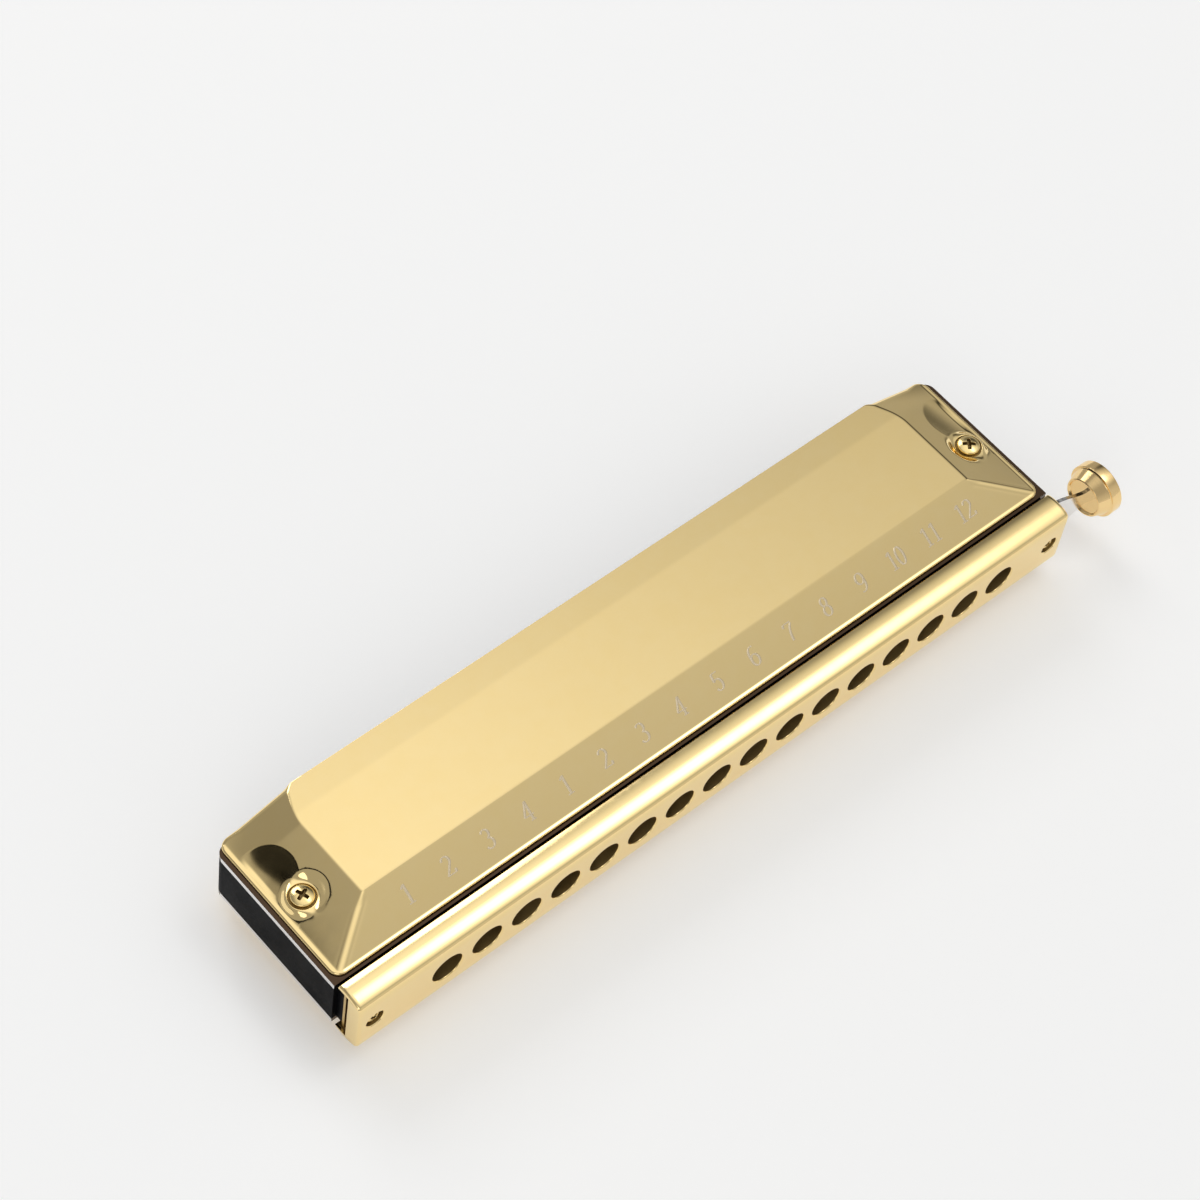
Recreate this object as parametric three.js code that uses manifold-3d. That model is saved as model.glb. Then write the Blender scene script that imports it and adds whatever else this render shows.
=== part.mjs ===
// Chromatic harmonica with sixteen holes and a sprung slide, in millimetres.
// X runs along the instrument towards the slide button, Y from the lips to the back, and Z up.
// It lies on its lower cover: the origin is the centre of that cover's flat resting face.
// The pieces are modelled in a group whose own zero is the middle of the comb's thickness
// in height and the front face of the mouthpiece in depth.
import * as THREE from "three";
import { ConvexGeometry } from "three/addons/geometries/ConvexGeometry.js";
import { mergeVertices } from "three/addons/utils/BufferGeometryUtils.js";
import Module from "manifold-3d";

const wasm = await Module();
wasm.setup();

// Hole row
const holeCount = 16;
const holePitch = 9.5;
const holeDiameter = 7;
const rowShift = 1.3; // the row sits this far from the middle, towards the button

// Body: comb and reed plates
const bodyEnd = 19.85; // from the centre of the row's last hole, unshifted, to the end of the comb
const combDepth = 35.2;
const plateThickness = 1.1;
const bodyCornerRadius = 2.5; // back corners of the comb and the reed plates

// Chambers in the comb
const chamberWall = 2.2;
const chamberFloor = 1.4;
const chamberStart = 1.6; // behind the reed plates' front edge
const longChamber = 30; // the lowest notes, at the left
const shortChamber = 19;

// Reeds
const slotWidth = 2.5;
const reedWidth = 2.2;
const reedThickness = 0.25;
const reedSeat = 0.05; // how deep the reed's foot sits in the plate
const reedFoot = 2.6;
const reedTipGap = 0.3;
const slotStart = 5.4; // behind the reed plates' front edge
const slotEndGap = 4.4; // in front of the chamber's end, which leaves room for a foot

// Slide and its housing, from front to back
const slideThickness = 0.8;
const slideHeight = 12.8;
const slideTravel = 4.5;
const slideClearance = 0.1;
const windowSeal = 0.5; // how much narrower than the travel a slide window is
const windowEdge = 1.3; // from the slide's long edge to a window
const windowBridge = 1.4; // between the upper and the lower windows
const windowLand = 0.6; // from a window to the comb's face
const cageSheet = 0.4;
const cageWindowMargin = 0.2; // round a mouthpiece hole
const backplateThickness = 0.6;
const housingInset = 0.8; // housing shorter than the mouthpiece at each end
const forkEnd = 4.8; // from the mouthpiece's left end to the slide's left end, at rest

// Slide neck and button
const neckShoulder = 0.7; // beyond the mouthpiece's end, where the taper starts
const neckLength = 10.2; // from the mouthpiece's end to the button
const neckHeight = 4.4;
const neckSteps = 12;
const tongueLength = 3.2;
const tongueGap = 0.1;
const bossDiameter = 8.8; // at its lip
const bossRootDiameter = 10.8; // where it has widened to meet the flange
const bossLength = 2.8;
const flangeDiameter = 11.8;
const flangeLength = 2.4;
const buttonChamfer = 0.3;

// Mouthpiece
const mouthInset = 0.3; // shorter than the comb at each end
const mouthWall = 3.4; // front wall that the holes pass
const mouthFaceHeight = 10.5;
const mouthSkin = 0.6;
const mouthSkirt = 0.95; // reaches back past the housing
const mouthGap = 0.75; // from the skirt to the reed plates
const rollBulge = 1.45;
const rollSteps = 10;
const grooveClearance = 0.1;

// Mouthpiece screws, their sleeves and the slide's slots
const mouthScrewInset = 3.9; // from the mouthpiece's end
const mouthScrewHead = 3.6;
const mouthScrewHeadLength = 1.2;
const mouthScrewSink = 0.4; // head below the front face
const mouthScrewShank = 2;
const mouthScrewReach = 8; // into the comb
const sleeveDiameter = 3.5;
const sleeveBore = 2.3;
const sleeveGap = 0.3; // between a sleeve and the slide's slot

// Slide spring, a wire with two turns round a peg in the comb
const wireDiameter = 0.7;
const springRadius = 2.4;
const springTurns = 2;
const springPitch = 1.15;
const springInset = 7.1; // from the end of the comb to the centre of the coil
const springBack = 7.4; // from the reed plates' front edge to the centre of the coil
const springTail = 4.6;
const springTipEdge = 1.8; // from the slide's upper edge to the spring's tip
const springHole = 1.5;
const springSteps = 48;
const wireSides = 6;
const coilFloorGap = 0.35; // from the spring's lowest turn to the floor of its pocket
const pocketMargin = 0.5;
const tailRest = 0.3; // from the spring's back leg to the pocket wall that it leans on
const pegGap = 0.4;

// Covers
const coverSheet = 0.6;
const coverRise = 5.4; // from the reed plate to the plateau
const coverEndInset = 1;
const coverSetback = 0.6;
const coverOverhang = 0.6;
const rimHeight = 0.7;
const rimEdge = 0.6; // how far the rim's rounded edge leans in
const rimCornerRadius = 2.4;
const cornerSteps = 6;
const frontFacetRun = 9.3;
const endFacetRun = 13.2;
const bandRun = 5.9; // the strip behind the plateau
const bandDrop = 0.25;
const bandInset = 3.4; // how much further in than the plateau's end the strip ends

// Cover bolts and nuts
const boltInset = 6.05; // from the end of the comb
const boltBack = 17; // from the reed plates' front edge
const boltSeatRise = 1.8; // from the reed plate to the seat under the head
const boltSeatDiameter = 6.4;
const boltHeadDiameter = 5;
const boltHeadHeight = 1.3;
const boltShank = 2.4;
const nutAcross = 5;
const nutThickness = 1.5;

// Reed plate screws
const plateScrewHead = 3;
const plateScrewHeadHeight = 0.8;
const plateScrewShank = 1.6;
const plateScrewReach = 3.6; // into the comb
const plateScrewShares = [
  [-0.868, 0.19],
  [0.866, 0.19],
  [-0.868, 0.9],
  [0.866, 0.9],
  [-0.3, 0.945],
  [0.3, 0.945],
]; // shares of the comb's half length and of its depth

// Screw recesses and fits
const crossWidthShare = 0.18; // of the head's diameter
const crossLengthShare = 0.6;
const crossDepthShare = 0.55; // of the head's height
const screwGap = 0.15; // round a shank
const headGap = 0.2; // round a sunk head
const roundSteps = 20;
const smallRoundSteps = 12;
const overrun = 1;
const weldTolerance = 1e-4;

// Places that follow from the sizes
const rowHalf = ((holeCount - 1) * holePitch) / 2;
const bodyHalf = rowHalf + bodyEnd;
const slideHalf = slideHeight / 2;
const combHalf = slideHalf - windowEdge + windowLand;
const plateTop = combHalf + plateThickness;
const mouthHalf = bodyHalf - mouthInset;
const cageFront = mouthWall;
const slideFront = cageFront + cageSheet + slideClearance;
const slideBack = slideFront + slideThickness;
const backplateFront = slideBack + slideClearance;
const noseFront = backplateFront + backplateThickness;
const mouthBack = noseFront + mouthSkirt;
const plateFront = mouthBack + mouthGap;
const bodyBack = plateFront + combDepth;
const slideMiddle = (slideFront + slideBack) / 2;
const cageInner = slideHalf + slideClearance;
const cageOuter = cageInner + cageSheet;
const grooveHalf = cageOuter + grooveClearance;
const housingHalf = mouthHalf - housingInset;
const windowWidth = slideTravel - windowSeal;
const windowHeight = slideHalf - windowEdge - windowBridge / 2;
const windowRise = (windowBridge + windowHeight) / 2; // from the middle to the centre of a window
const springTipRise = slideHalf - springTipEdge;
const pocketFloor = springTipRise - springTurns * springPitch - wireDiameter / 2 - coilFloorGap;
const mouthScrewX = mouthHalf - mouthScrewInset;
const buttonFace = mouthHalf + neckLength;
const coilX = bodyHalf - springInset;
const coilY = plateFront + springBack;
const springTipX = coilX + springRadius;
const boltX = bodyHalf - boltInset;
const boltY = plateFront + boltBack;
const boltSeat = plateTop + boltSeatRise;
const coverHalf = bodyHalf - coverEndInset;
const coverFront = plateFront + coverSetback;
const coverBack = bodyBack + coverOverhang;
const plateauHalf = coverHalf - endFacetRun;
const plateauFront = coverFront + frontFacetRun;
const plateauBack = coverBack - bandRun;
const plateauHeight = plateTop + coverRise;
const bandHalf = plateauHalf - bandInset;

const holeX = (index) => rowShift - rowHalf + index * holePitch;
const noteShare = (index) => index / Math.max(holeCount - 1, 1);
const chamberLength = (index) => THREE.MathUtils.lerp(longChamber, shortChamber, noteShare(index));

// Joining and cutting
function solid(geometry) {
  const bare = geometry.clone();
  bare.deleteAttribute("normal");
  bare.deleteAttribute("uv");
  const welded = mergeVertices(bare, weldTolerance);
  return new wasm.Manifold(
    new wasm.Mesh({
      numProp: 3,
      vertProperties: new Float32Array(welded.attributes.position.array),
      triVerts: new Uint32Array(welded.index.array),
    }),
  );
}

function shapeOf(body) {
  const mesh = body.getMesh();
  const geometry = new THREE.BufferGeometry();
  geometry.setAttribute("position", new THREE.BufferAttribute(mesh.vertProperties, 3));
  geometry.setIndex(new THREE.BufferAttribute(mesh.triVerts, 1));
  return geometry;
}

const cut = (body, cutters) => cutters.reduce((rest, cutter) => rest.subtract(solid(cutter)), body);
const join = (body, additions) => additions.reduce((sum, part) => sum.add(solid(part)), body);

// Plain shapes, placed by their limits
function block([x0, x1], [y0, y1], [z0, z1]) {
  const box = new THREE.BoxGeometry(x1 - x0, y1 - y0, z1 - z0);
  return box.translate((x0 + x1) / 2, (y0 + y1) / 2, (z0 + z1) / 2);
}

const around = (middle, width) => [middle - width / 2, middle + width / 2];

function uprightRod(diameter, x, y, [z0, z1], steps = roundSteps) {
  const rod = new THREE.CylinderGeometry(diameter / 2, diameter / 2, z1 - z0, steps);
  return rod.rotateX(Math.PI / 2).translate(x, y, (z0 + z1) / 2);
}

function deepRod(diameter, x, z, [y0, y1], steps = roundSteps) {
  const rod = new THREE.CylinderGeometry(diameter / 2, diameter / 2, y1 - y0, steps);
  return rod.translate(x, (y0 + y1) / 2, z);
}

// A flat outline in X and Z, thickened along Y
function sheetAcross(shape, [y0, y1]) {
  const sheet = new THREE.ExtrudeGeometry(shape, { depth: y1 - y0, bevelEnabled: false });
  return sheet.rotateX(Math.PI / 2).translate(0, y1, 0);
}

// A flat outline in Y and Z, drawn out along X
function barAlong(shape, [x0, x1]) {
  const bar = new THREE.ExtrudeGeometry(shape, { depth: x1 - x0, bevelEnabled: false });
  const turn = new THREE.Matrix4().makeBasis(
    new THREE.Vector3(0, 1, 0),
    new THREE.Vector3(0, 0, 1),
    new THREE.Vector3(1, 0, 0),
  );
  return bar.applyMatrix4(turn).translate(x0, 0, 0);
}

const outline = (points) => new THREE.Shape(points.map(([across, up]) => new THREE.Vector2(across, up)));

// A square window through sheets that lie across the Y direction
function windowThrough(x, z, width, height, [y0, y1]) {
  return block(around(x, width), [y0 - overrun, y1 + overrun], around(z, height));
}

// The same piece on the other side of the middle plane
function flipped(geometry) {
  const copy = geometry.clone().scale(1, 1, -1);
  const corners = copy.index.array;
  for (let first = 0; first < corners.length; first += 3) {
    [corners[first], corners[first + 1]] = [corners[first + 1], corners[first]];
  }
  return copy;
}

const instrument = new THREE.Group();
const pieces = new THREE.Group();
pieces.position.set(0, -(plateauFront + plateauBack) / 2, plateauHeight);
instrument.add(pieces);

function place(name, geometry, colour, roughness, metalness) {
  const material = new THREE.MeshStandardMaterial({ color: colour, roughness, metalness });
  const mesh = new THREE.Mesh(geometry, material);
  mesh.name = name;
  pieces.add(mesh);
  return mesh;
}

const gold = [0xe8c878, 0.12, 1];
const silver = [0xcfd0d2, 0.22, 1];
const blackPlastic = [0x141416, 0.4, 0];
const brass = [0xc9a24d, 0.3, 1];

// Comb: a moulded block with an upper and a lower chamber for each hole
function springPocket() {
  const coilRoom = springRadius + wireDiameter / 2 + pocketMargin;
  const frontLeft = springTipX - slideTravel - wireDiameter / 2 - pocketMargin;
  const right = springTipX + wireDiameter / 2 + tailRest;
  const left = coilX - coilRoom;
  const pocket = outline([
    [frontLeft, noseFront - overrun],
    [right, noseFront - overrun],
    [right, coilY + springTail + pocketMargin],
    [left, coilY + springTail + pocketMargin],
    [left, coilY - coilRoom],
    [frontLeft, plateFront],
  ]);
  const height = combHalf - pocketFloor + overrun;
  return new THREE.ExtrudeGeometry(pocket, { depth: height, bevelEnabled: false }).translate(0, 0, pocketFloor);
}

function chamberCuts(index, side) {
  const x = holeX(index);
  const start = plateFront + chamberStart;
  const end = start + chamberLength(index);
  const low = (side * chamberFloor) / 2;
  const high = side * (combHalf + overrun);
  const level = low < high ? [low, high] : [high, low];
  const chamber = block(around(x, holePitch - chamberWall), [start, end], level);
  const mouth = block(
    around(x, windowWidth + cageWindowMargin),
    [noseFront - overrun, start + overrun],
    around(side * windowRise, windowHeight),
  );
  return [chamber, mouth];
}

// A slab with the outline that the comb shares with the reed plates
function bodySlab([z0, z1]) {
  const shape = new THREE.Shape();
  const corner = bodyCornerRadius;
  shape.moveTo(-bodyHalf, plateFront);
  shape.lineTo(bodyHalf, plateFront);
  shape.lineTo(bodyHalf, bodyBack - corner);
  shape.absarc(bodyHalf - corner, bodyBack - corner, corner, 0, Math.PI / 2, false);
  shape.lineTo(-bodyHalf + corner, bodyBack);
  shape.absarc(-bodyHalf + corner, bodyBack - corner, corner, Math.PI / 2, Math.PI, false);
  const slab = new THREE.ExtrudeGeometry(shape, { depth: z1 - z0, bevelEnabled: false, curveSegments: cornerSteps });
  return slab.translate(0, 0, z0);
}

function makeComb() {
  const rear = bodySlab([-combHalf, combHalf]);
  const nose = block([-housingHalf, housingHalf], [noseFront, plateFront + overrun], [-combHalf, combHalf]);
  const cuts = [];
  for (let index = 0; index < holeCount; index += 1) {
    cuts.push(...chamberCuts(index, 1), ...chamberCuts(index, -1));
  }
  const through = [-combHalf - overrun, combHalf + overrun];
  for (const side of [-1, 1]) {
    cuts.push(uprightRod(boltShank + 2 * screwGap, side * boltX, boltY, through));
    const reach = [noseFront - overrun, noseFront + mouthScrewReach + screwGap];
    cuts.push(deepRod(mouthScrewShank + 2 * screwGap, side * mouthScrewX, 0, reach, smallRoundSteps));
  }
  for (const [x, y] of plateScrewPlaces()) {
    for (const side of [-1, 1]) {
      const ends = [side * (combHalf - plateScrewReach - screwGap), side * (combHalf + overrun)];
      const level = ends.sort((a, b) => a - b);
      cuts.push(uprightRod(plateScrewShank + 2 * screwGap, x, y, level, smallRoundSteps));
    }
  }
  const pegTop = combHalf - pocketMargin;
  const pegDiameter = 2 * springRadius - wireDiameter - 2 * pegGap;
  const peg = uprightRod(pegDiameter, coilX, coilY, [pocketFloor - overrun, pegTop], smallRoundSteps);
  const hollowed = cut(join(solid(rear), [nose]), [...cuts, springPocket()]);
  return shapeOf(join(hollowed, [peg]));
}

function plateScrewPlaces() {
  return plateScrewShares.map(([along, back]) => [along * bodyHalf, plateFront + back * combDepth]);
}

// Reed plate: slots in pairs, one reed outside and one inside for each chamber
function reedSlot(index, side) {
  const x = holeX(index) + (side * (holePitch - chamberWall)) / 4;
  const start = plateFront + slotStart;
  const end = plateFront + chamberStart + chamberLength(index) - slotEndGap;
  return { x, start, end };
}

function reed(index, side) {
  const { x, start, end } = reedSlot(index, side);
  const reach = side > 0 ? [start - reedFoot, end - reedTipGap] : [start + reedTipGap, end + reedFoot];
  const outside = [plateTop - reedSeat, plateTop - reedSeat + reedThickness];
  const inside = [combHalf + reedSeat - reedThickness, combHalf + reedSeat];
  return block(around(x, reedWidth), reach, side > 0 ? outside : inside);
}

function makeReedPlate() {
  const flat = bodySlab([combHalf, plateTop]);
  const cuts = [];
  const reeds = [];
  const through = [combHalf - overrun, plateTop + overrun];
  for (let index = 0; index < holeCount; index += 1) {
    for (const side of [-1, 1]) {
      const { x, start, end } = reedSlot(index, side);
      cuts.push(block(around(x, slotWidth), [start, end], through));
      reeds.push(reed(index, side));
    }
  }
  for (const side of [-1, 1]) {
    cuts.push(uprightRod(boltShank + 2 * screwGap, side * boltX, boltY, through));
  }
  for (const [x, y] of plateScrewPlaces()) {
    cuts.push(uprightRod(plateScrewShank + 2 * screwGap, x, y, through, smallRoundSteps));
  }
  return shapeOf(join(cut(solid(flat), cuts), reeds));
}

// Cover: a stamped shell with a plateau, a front facet, two end facets and an open back
function roundedRim(inset, height) {
  const halfLength = coverHalf - inset;
  const front = coverFront + inset;
  const back = coverBack - inset;
  const corner = Math.max(rimCornerRadius - inset, rimEdge);
  const points = [];
  for (const [along, deep, turn] of [[1, 1, 0], [-1, 1, 1], [-1, -1, 2], [1, -1, 3]]) {
    const x = along * (halfLength - corner);
    const y = deep > 0 ? back - corner : front + corner;
    for (let step = 0; step <= cornerSteps; step += 1) {
      const angle = ((turn + step / cornerSteps) * Math.PI) / 2;
      points.push(new THREE.Vector3(x + corner * Math.cos(angle), y + corner * Math.sin(angle), height));
    }
  }
  return points;
}

function coverForm(inset, bottom) {
  const endLean = Math.tan(Math.atan2(coverRise - rimHeight, endFacetRun - rimEdge) / 2);
  const frontLean = Math.tan(Math.atan2(coverRise - rimHeight, frontFacetRun - rimEdge) / 2);
  const half = plateauHalf - inset * endLean;
  const front = plateauFront + inset * frontLean;
  const top = plateauHeight - inset;
  const bandEnd = bandHalf - inset * endLean;
  const corners = [-1, 1].flatMap((side) => [
    new THREE.Vector3(side * half, front, top),
    new THREE.Vector3(side * half, plateauBack, top),
    new THREE.Vector3(side * bandEnd, coverBack - inset, top - bandDrop),
  ]);
  return new ConvexGeometry([
    ...roundedRim(inset, bottom),
    ...roundedRim(inset, plateTop + rimHeight - rimEdge - inset * endLean),
    ...roundedRim(inset + rimEdge, plateTop + rimHeight - inset * endLean),
    ...corners,
  ]);
}

function makeCover() {
  const outer = solid(coverForm(0, plateTop));
  const shell = cut(outer, [coverForm(coverSheet, plateTop - overrun)]);
  const backOpening = block(
    [-bandHalf, bandHalf],
    [coverBack - coverSheet - overrun, coverBack + overrun],
    [plateTop - overrun, plateauHeight - bandDrop - coverSheet],
  );
  const cups = [];
  const cupCuts = [backOpening];
  for (const side of [-1, 1]) {
    const x = side * boltX;
    const top = [boltSeat, plateauHeight + overrun];
    const under = [boltSeat - coverSheet, plateauHeight];
    cups.push(uprightRod(boltSeatDiameter + 2 * coverSheet, x, boltY, under));
    cupCuts.push(uprightRod(boltSeatDiameter, x, boltY, top));
    cupCuts.push(uprightRod(boltShank + 2 * screwGap, x, boltY, [plateTop, boltSeat + overrun]));
  }
  const cupped = shell.add(cups.map((cup) => solid(cup).intersect(outer)).reduce((a, b) => a.add(b)));
  return shapeOf(cut(cupped, cupCuts));
}

// Mouthpiece: a bar with a rolled top and bottom, round holes and a groove for the housing
function rollCurve() {
  const front = new THREE.Vector2(0, mouthFaceHeight / 2);
  const back = new THREE.Vector2(mouthBack, grooveHalf + mouthSkin);
  const chord = back.clone().sub(front);
  const half = chord.length() / 2;
  const radius = (half * half + rollBulge * rollBulge) / (2 * rollBulge);
  const normal = new THREE.Vector2(-chord.y, chord.x).normalize();
  const centre = front.clone().add(back).multiplyScalar(1 / 2).addScaledVector(normal, rollBulge - radius);
  const sweep = 2 * Math.asin(half / radius);
  const startAngle = front.clone().sub(centre).angle();
  return Array.from({ length: rollSteps + 1 }, (_, step) => {
    const angle = startAngle - (sweep * step) / rollSteps;
    return [centre.x + radius * Math.cos(angle), centre.y + radius * Math.sin(angle)];
  });
}

function makeMouthpiece() {
  const upper = rollCurve();
  const lower = upper.map(([y, z]) => [y, -z]).reverse();
  const profile = outline([
    ...lower,
    ...upper,
    [mouthBack, grooveHalf],
    [mouthWall, grooveHalf],
    [mouthWall, -grooveHalf],
    [mouthBack, -grooveHalf],
  ]);
  const bar = solid(barAlong(profile, [-mouthHalf, mouthHalf]));
  const through = [-overrun, mouthWall + overrun];
  const cuts = [];
  for (let index = 0; index < holeCount; index += 1) {
    cuts.push(deepRod(holeDiameter, holeX(index), 0, through));
  }
  for (const side of [-1, 1]) {
    const x = side * mouthScrewX;
    cuts.push(deepRod(mouthScrewHead + 2 * headGap, x, 0, [-overrun, mouthScrewSink + mouthScrewHeadLength]));
    cuts.push(deepRod(mouthScrewShank + 2 * screwGap, x, 0, through, smallRoundSteps));
  }
  return shapeOf(cut(bar, cuts));
}

// Slide housing: a channel in front and a flat plate behind
function housingSheet([y0, y1]) {
  const sheet = solid(block([-housingHalf, housingHalf], [y0, y1], [-cageOuter, cageOuter]));
  const bores = [-1, 1].map((side) => {
    const reach = [y0 - overrun, y1 + overrun];
    return deepRod(mouthScrewShank + 2 * screwGap, side * mouthScrewX, 0, reach, smallRoundSteps);
  });
  return cut(sheet, bores);
}

function makeCage() {
  const web = [cageFront, cageFront + cageSheet];
  const opening = holeDiameter + 2 * cageWindowMargin;
  const windows = [];
  for (let index = 0; index < holeCount; index += 1) {
    windows.push(windowThrough(holeX(index), 0, opening, opening, web));
  }
  const flanges = [-1, 1].map((side) => {
    const edge = [side * cageInner, side * cageOuter].sort((a, b) => a - b);
    return block([-housingHalf, housingHalf], [cageFront, backplateFront], edge);
  });
  return shapeOf(join(cut(housingSheet(web), windows), flanges));
}

function makeBackplate() {
  const reach = [backplateFront, noseFront];
  const windows = [];
  for (let index = 0; index < holeCount; index += 1) {
    for (const side of [-1, 1]) {
      windows.push(windowThrough(holeX(index), side * windowRise, windowWidth, windowHeight, reach));
    }
  }
  const slotX = springTipX - slideTravel / 2;
  const slotWide = slideTravel + 2 * springHole;
  windows.push(windowThrough(slotX, springTipRise, slotWide, springHole, reach));
  return shapeOf(cut(housingSheet(reach), windows));
}

// Slide: windows that open the upper chamber of one hole and the lower chamber of the next
function neckEdge(side) {
  const start = mouthHalf + neckShoulder;
  return Array.from({ length: neckSteps + 1 }, (_, step) => {
    const share = step / neckSteps;
    const ease = share * share * (3 - 2 * share);
    const height = THREE.MathUtils.lerp(slideHalf, neckHeight / 2, (share + ease) / 2);
    return [THREE.MathUtils.lerp(start, buttonFace, share), side * height];
  });
}

function makeSlide() {
  const left = -mouthHalf + forkEnd;
  const slotHalf = sleeveDiameter / 2 + sleeveGap;
  const forkRoot = -mouthScrewX + slotHalf + slideTravel;
  const tongueEnd = buttonFace + tongueLength;
  const shape = outline([
    [left, -slideHalf],
    ...neckEdge(-1),
    [tongueEnd, -neckHeight / 2],
    [tongueEnd, neckHeight / 2],
    ...neckEdge(1).reverse(),
    [left, slideHalf],
    [left, slotHalf],
    [forkRoot, slotHalf],
    [forkRoot, -slotHalf],
    [left, -slotHalf],
  ]);
  const reach = [slideFront, slideBack];
  const windows = [];
  for (let index = 0; index < holeCount; index += 1) {
    const rise = index % 2 === 0 ? windowRise : -windowRise;
    windows.push(windowThrough(holeX(index), rise, windowWidth, windowHeight, reach));
    windows.push(windowThrough(holeX(index) + slideTravel, -rise, windowWidth, windowHeight, reach));
  }
  const slotX = mouthScrewX + slideTravel / 2;
  windows.push(windowThrough(slotX, 0, slideTravel + 2 * slotHalf, 2 * slotHalf, reach));
  windows.push(windowThrough(springTipX, springTipRise, springHole, springHole, reach));
  return shapeOf(cut(solid(sheetAcross(shape, reach)), windows));
}

// Button: a turned knob pressed on the slide's tongue, its boss widening towards the flange
function makeButton() {
  const boss = bossDiameter / 2;
  const root = bossRootDiameter / 2;
  const flange = flangeDiameter / 2;
  const end = bossLength + flangeLength;
  const profile = [
    [0, 0],
    [boss - buttonChamfer, 0],
    [boss, buttonChamfer],
    [root, bossLength],
    [flange - buttonChamfer, bossLength],
    [flange, bossLength + buttonChamfer],
    [flange, end - buttonChamfer],
    [flange - buttonChamfer, end],
    [0, end],
  ].map(([radius, height]) => new THREE.Vector2(radius, height));
  const knob = new THREE.LatheGeometry(profile, 2 * roundSteps);
  knob.rotateZ(-Math.PI / 2).translate(buttonFace, slideMiddle, 0);
  const slot = block(
    [buttonFace - overrun, buttonFace + tongueLength + tongueGap],
    around(slideMiddle, slideThickness + 2 * tongueGap),
    around(0, neckHeight + 2 * tongueGap),
  );
  return shapeOf(cut(solid(knob), [slot]));
}

// Slide spring: its front leg ends in the slide, and its back leg leans on the comb
function springCoil(share) {
  const angle = share * springTurns * 2 * Math.PI;
  const height = springTipRise - share * springTurns * springPitch;
  const x = coilX + springRadius * Math.cos(angle);
  return new THREE.Vector3(x, coilY + springRadius * Math.sin(angle), height);
}

function makeSpring() {
  const coil = new THREE.Curve();
  coil.getPoint = springCoil;
  const tip = new THREE.Vector3(springTipX, slideMiddle, springTipRise);
  const tail = springCoil(1).add(new THREE.Vector3(0, springTail, 0));
  const path = new THREE.CurvePath();
  path.add(new THREE.LineCurve3(tip, springCoil(0)));
  path.add(coil);
  path.add(new THREE.LineCurve3(springCoil(1), tail));
  const section = outline(
    Array.from({ length: wireSides }, (_, corner) => {
      const angle = (corner * 2 * Math.PI) / wireSides;
      return [(wireDiameter / 2) * Math.cos(angle), (wireDiameter / 2) * Math.sin(angle)];
    }),
  );
  return new THREE.ExtrudeGeometry(section, { steps: springSteps, extrudePath: path, bevelEnabled: false });
}

// Fasteners
function crossCuts(diameter, height, top) {
  const width = diameter * crossWidthShare;
  const length = diameter * crossLengthShare;
  const depth = [top - height * crossDepthShare, top + overrun];
  return [
    block(around(0, length), around(0, width), depth),
    block(around(0, width), around(0, length), depth),
  ];
}

// A screw that stands on its seat at zero height, with its head up and its shank down
function makeScrew(headDiameter, headHeight, shankDiameter, shankLength, steps) {
  const radius = headDiameter / 2;
  const dome = headHeight / 4;
  const profile = [
    [0, -shankLength],
    [shankDiameter / 2, -shankLength],
    [shankDiameter / 2, 0],
    [radius, 0],
    [radius, headHeight - 2 * dome],
    [radius - dome, headHeight - dome / 2],
    [radius - 3 * dome, headHeight],
    [0, headHeight],
  ].map(([across, up]) => new THREE.Vector2(across, up));
  const body = new THREE.LatheGeometry(profile, steps).rotateX(Math.PI / 2);
  return shapeOf(cut(solid(body), crossCuts(headDiameter, headHeight, headHeight)));
}

function makeNut() {
  const nut = uprightRod(nutAcross / Math.cos(Math.PI / 6), 0, 0, [0, nutThickness], 6);
  const bore = uprightRod(boltShank + 2 * screwGap, 0, 0, [-overrun, nutThickness + overrun], smallRoundSteps);
  return shapeOf(cut(solid(nut), [bore]));
}

function makeSleeve() {
  const length = backplateFront - cageFront - cageSheet - 2 * slideClearance;
  const tube = deepRod(sleeveDiameter, 0, 0, around(slideMiddle, length), smallRoundSteps);
  const bore = deepRod(sleeveBore, 0, 0, around(slideMiddle, length + 2 * overrun), smallRoundSteps);
  return shapeOf(cut(solid(tube), [bore]));
}

// The assembly
place("comb", makeComb(), ...blackPlastic);

const plate = makeReedPlate();
place("top_reed_plate", plate, ...silver);
place("bottom_reed_plate", flipped(plate), ...silver);

const cover = makeCover();
place("top_cover", cover, ...gold);
place("bottom_cover", flipped(cover), ...gold);

place("mouthpiece", makeMouthpiece(), ...gold);
place("slide_cage", makeCage(), ...brass);
place("slide_backplate", makeBackplate(), ...brass);
place("slide", makeSlide(), ...silver);
place("slide_button", makeButton(), ...gold);
place("slide_spring", makeSpring(), ...silver);

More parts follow.
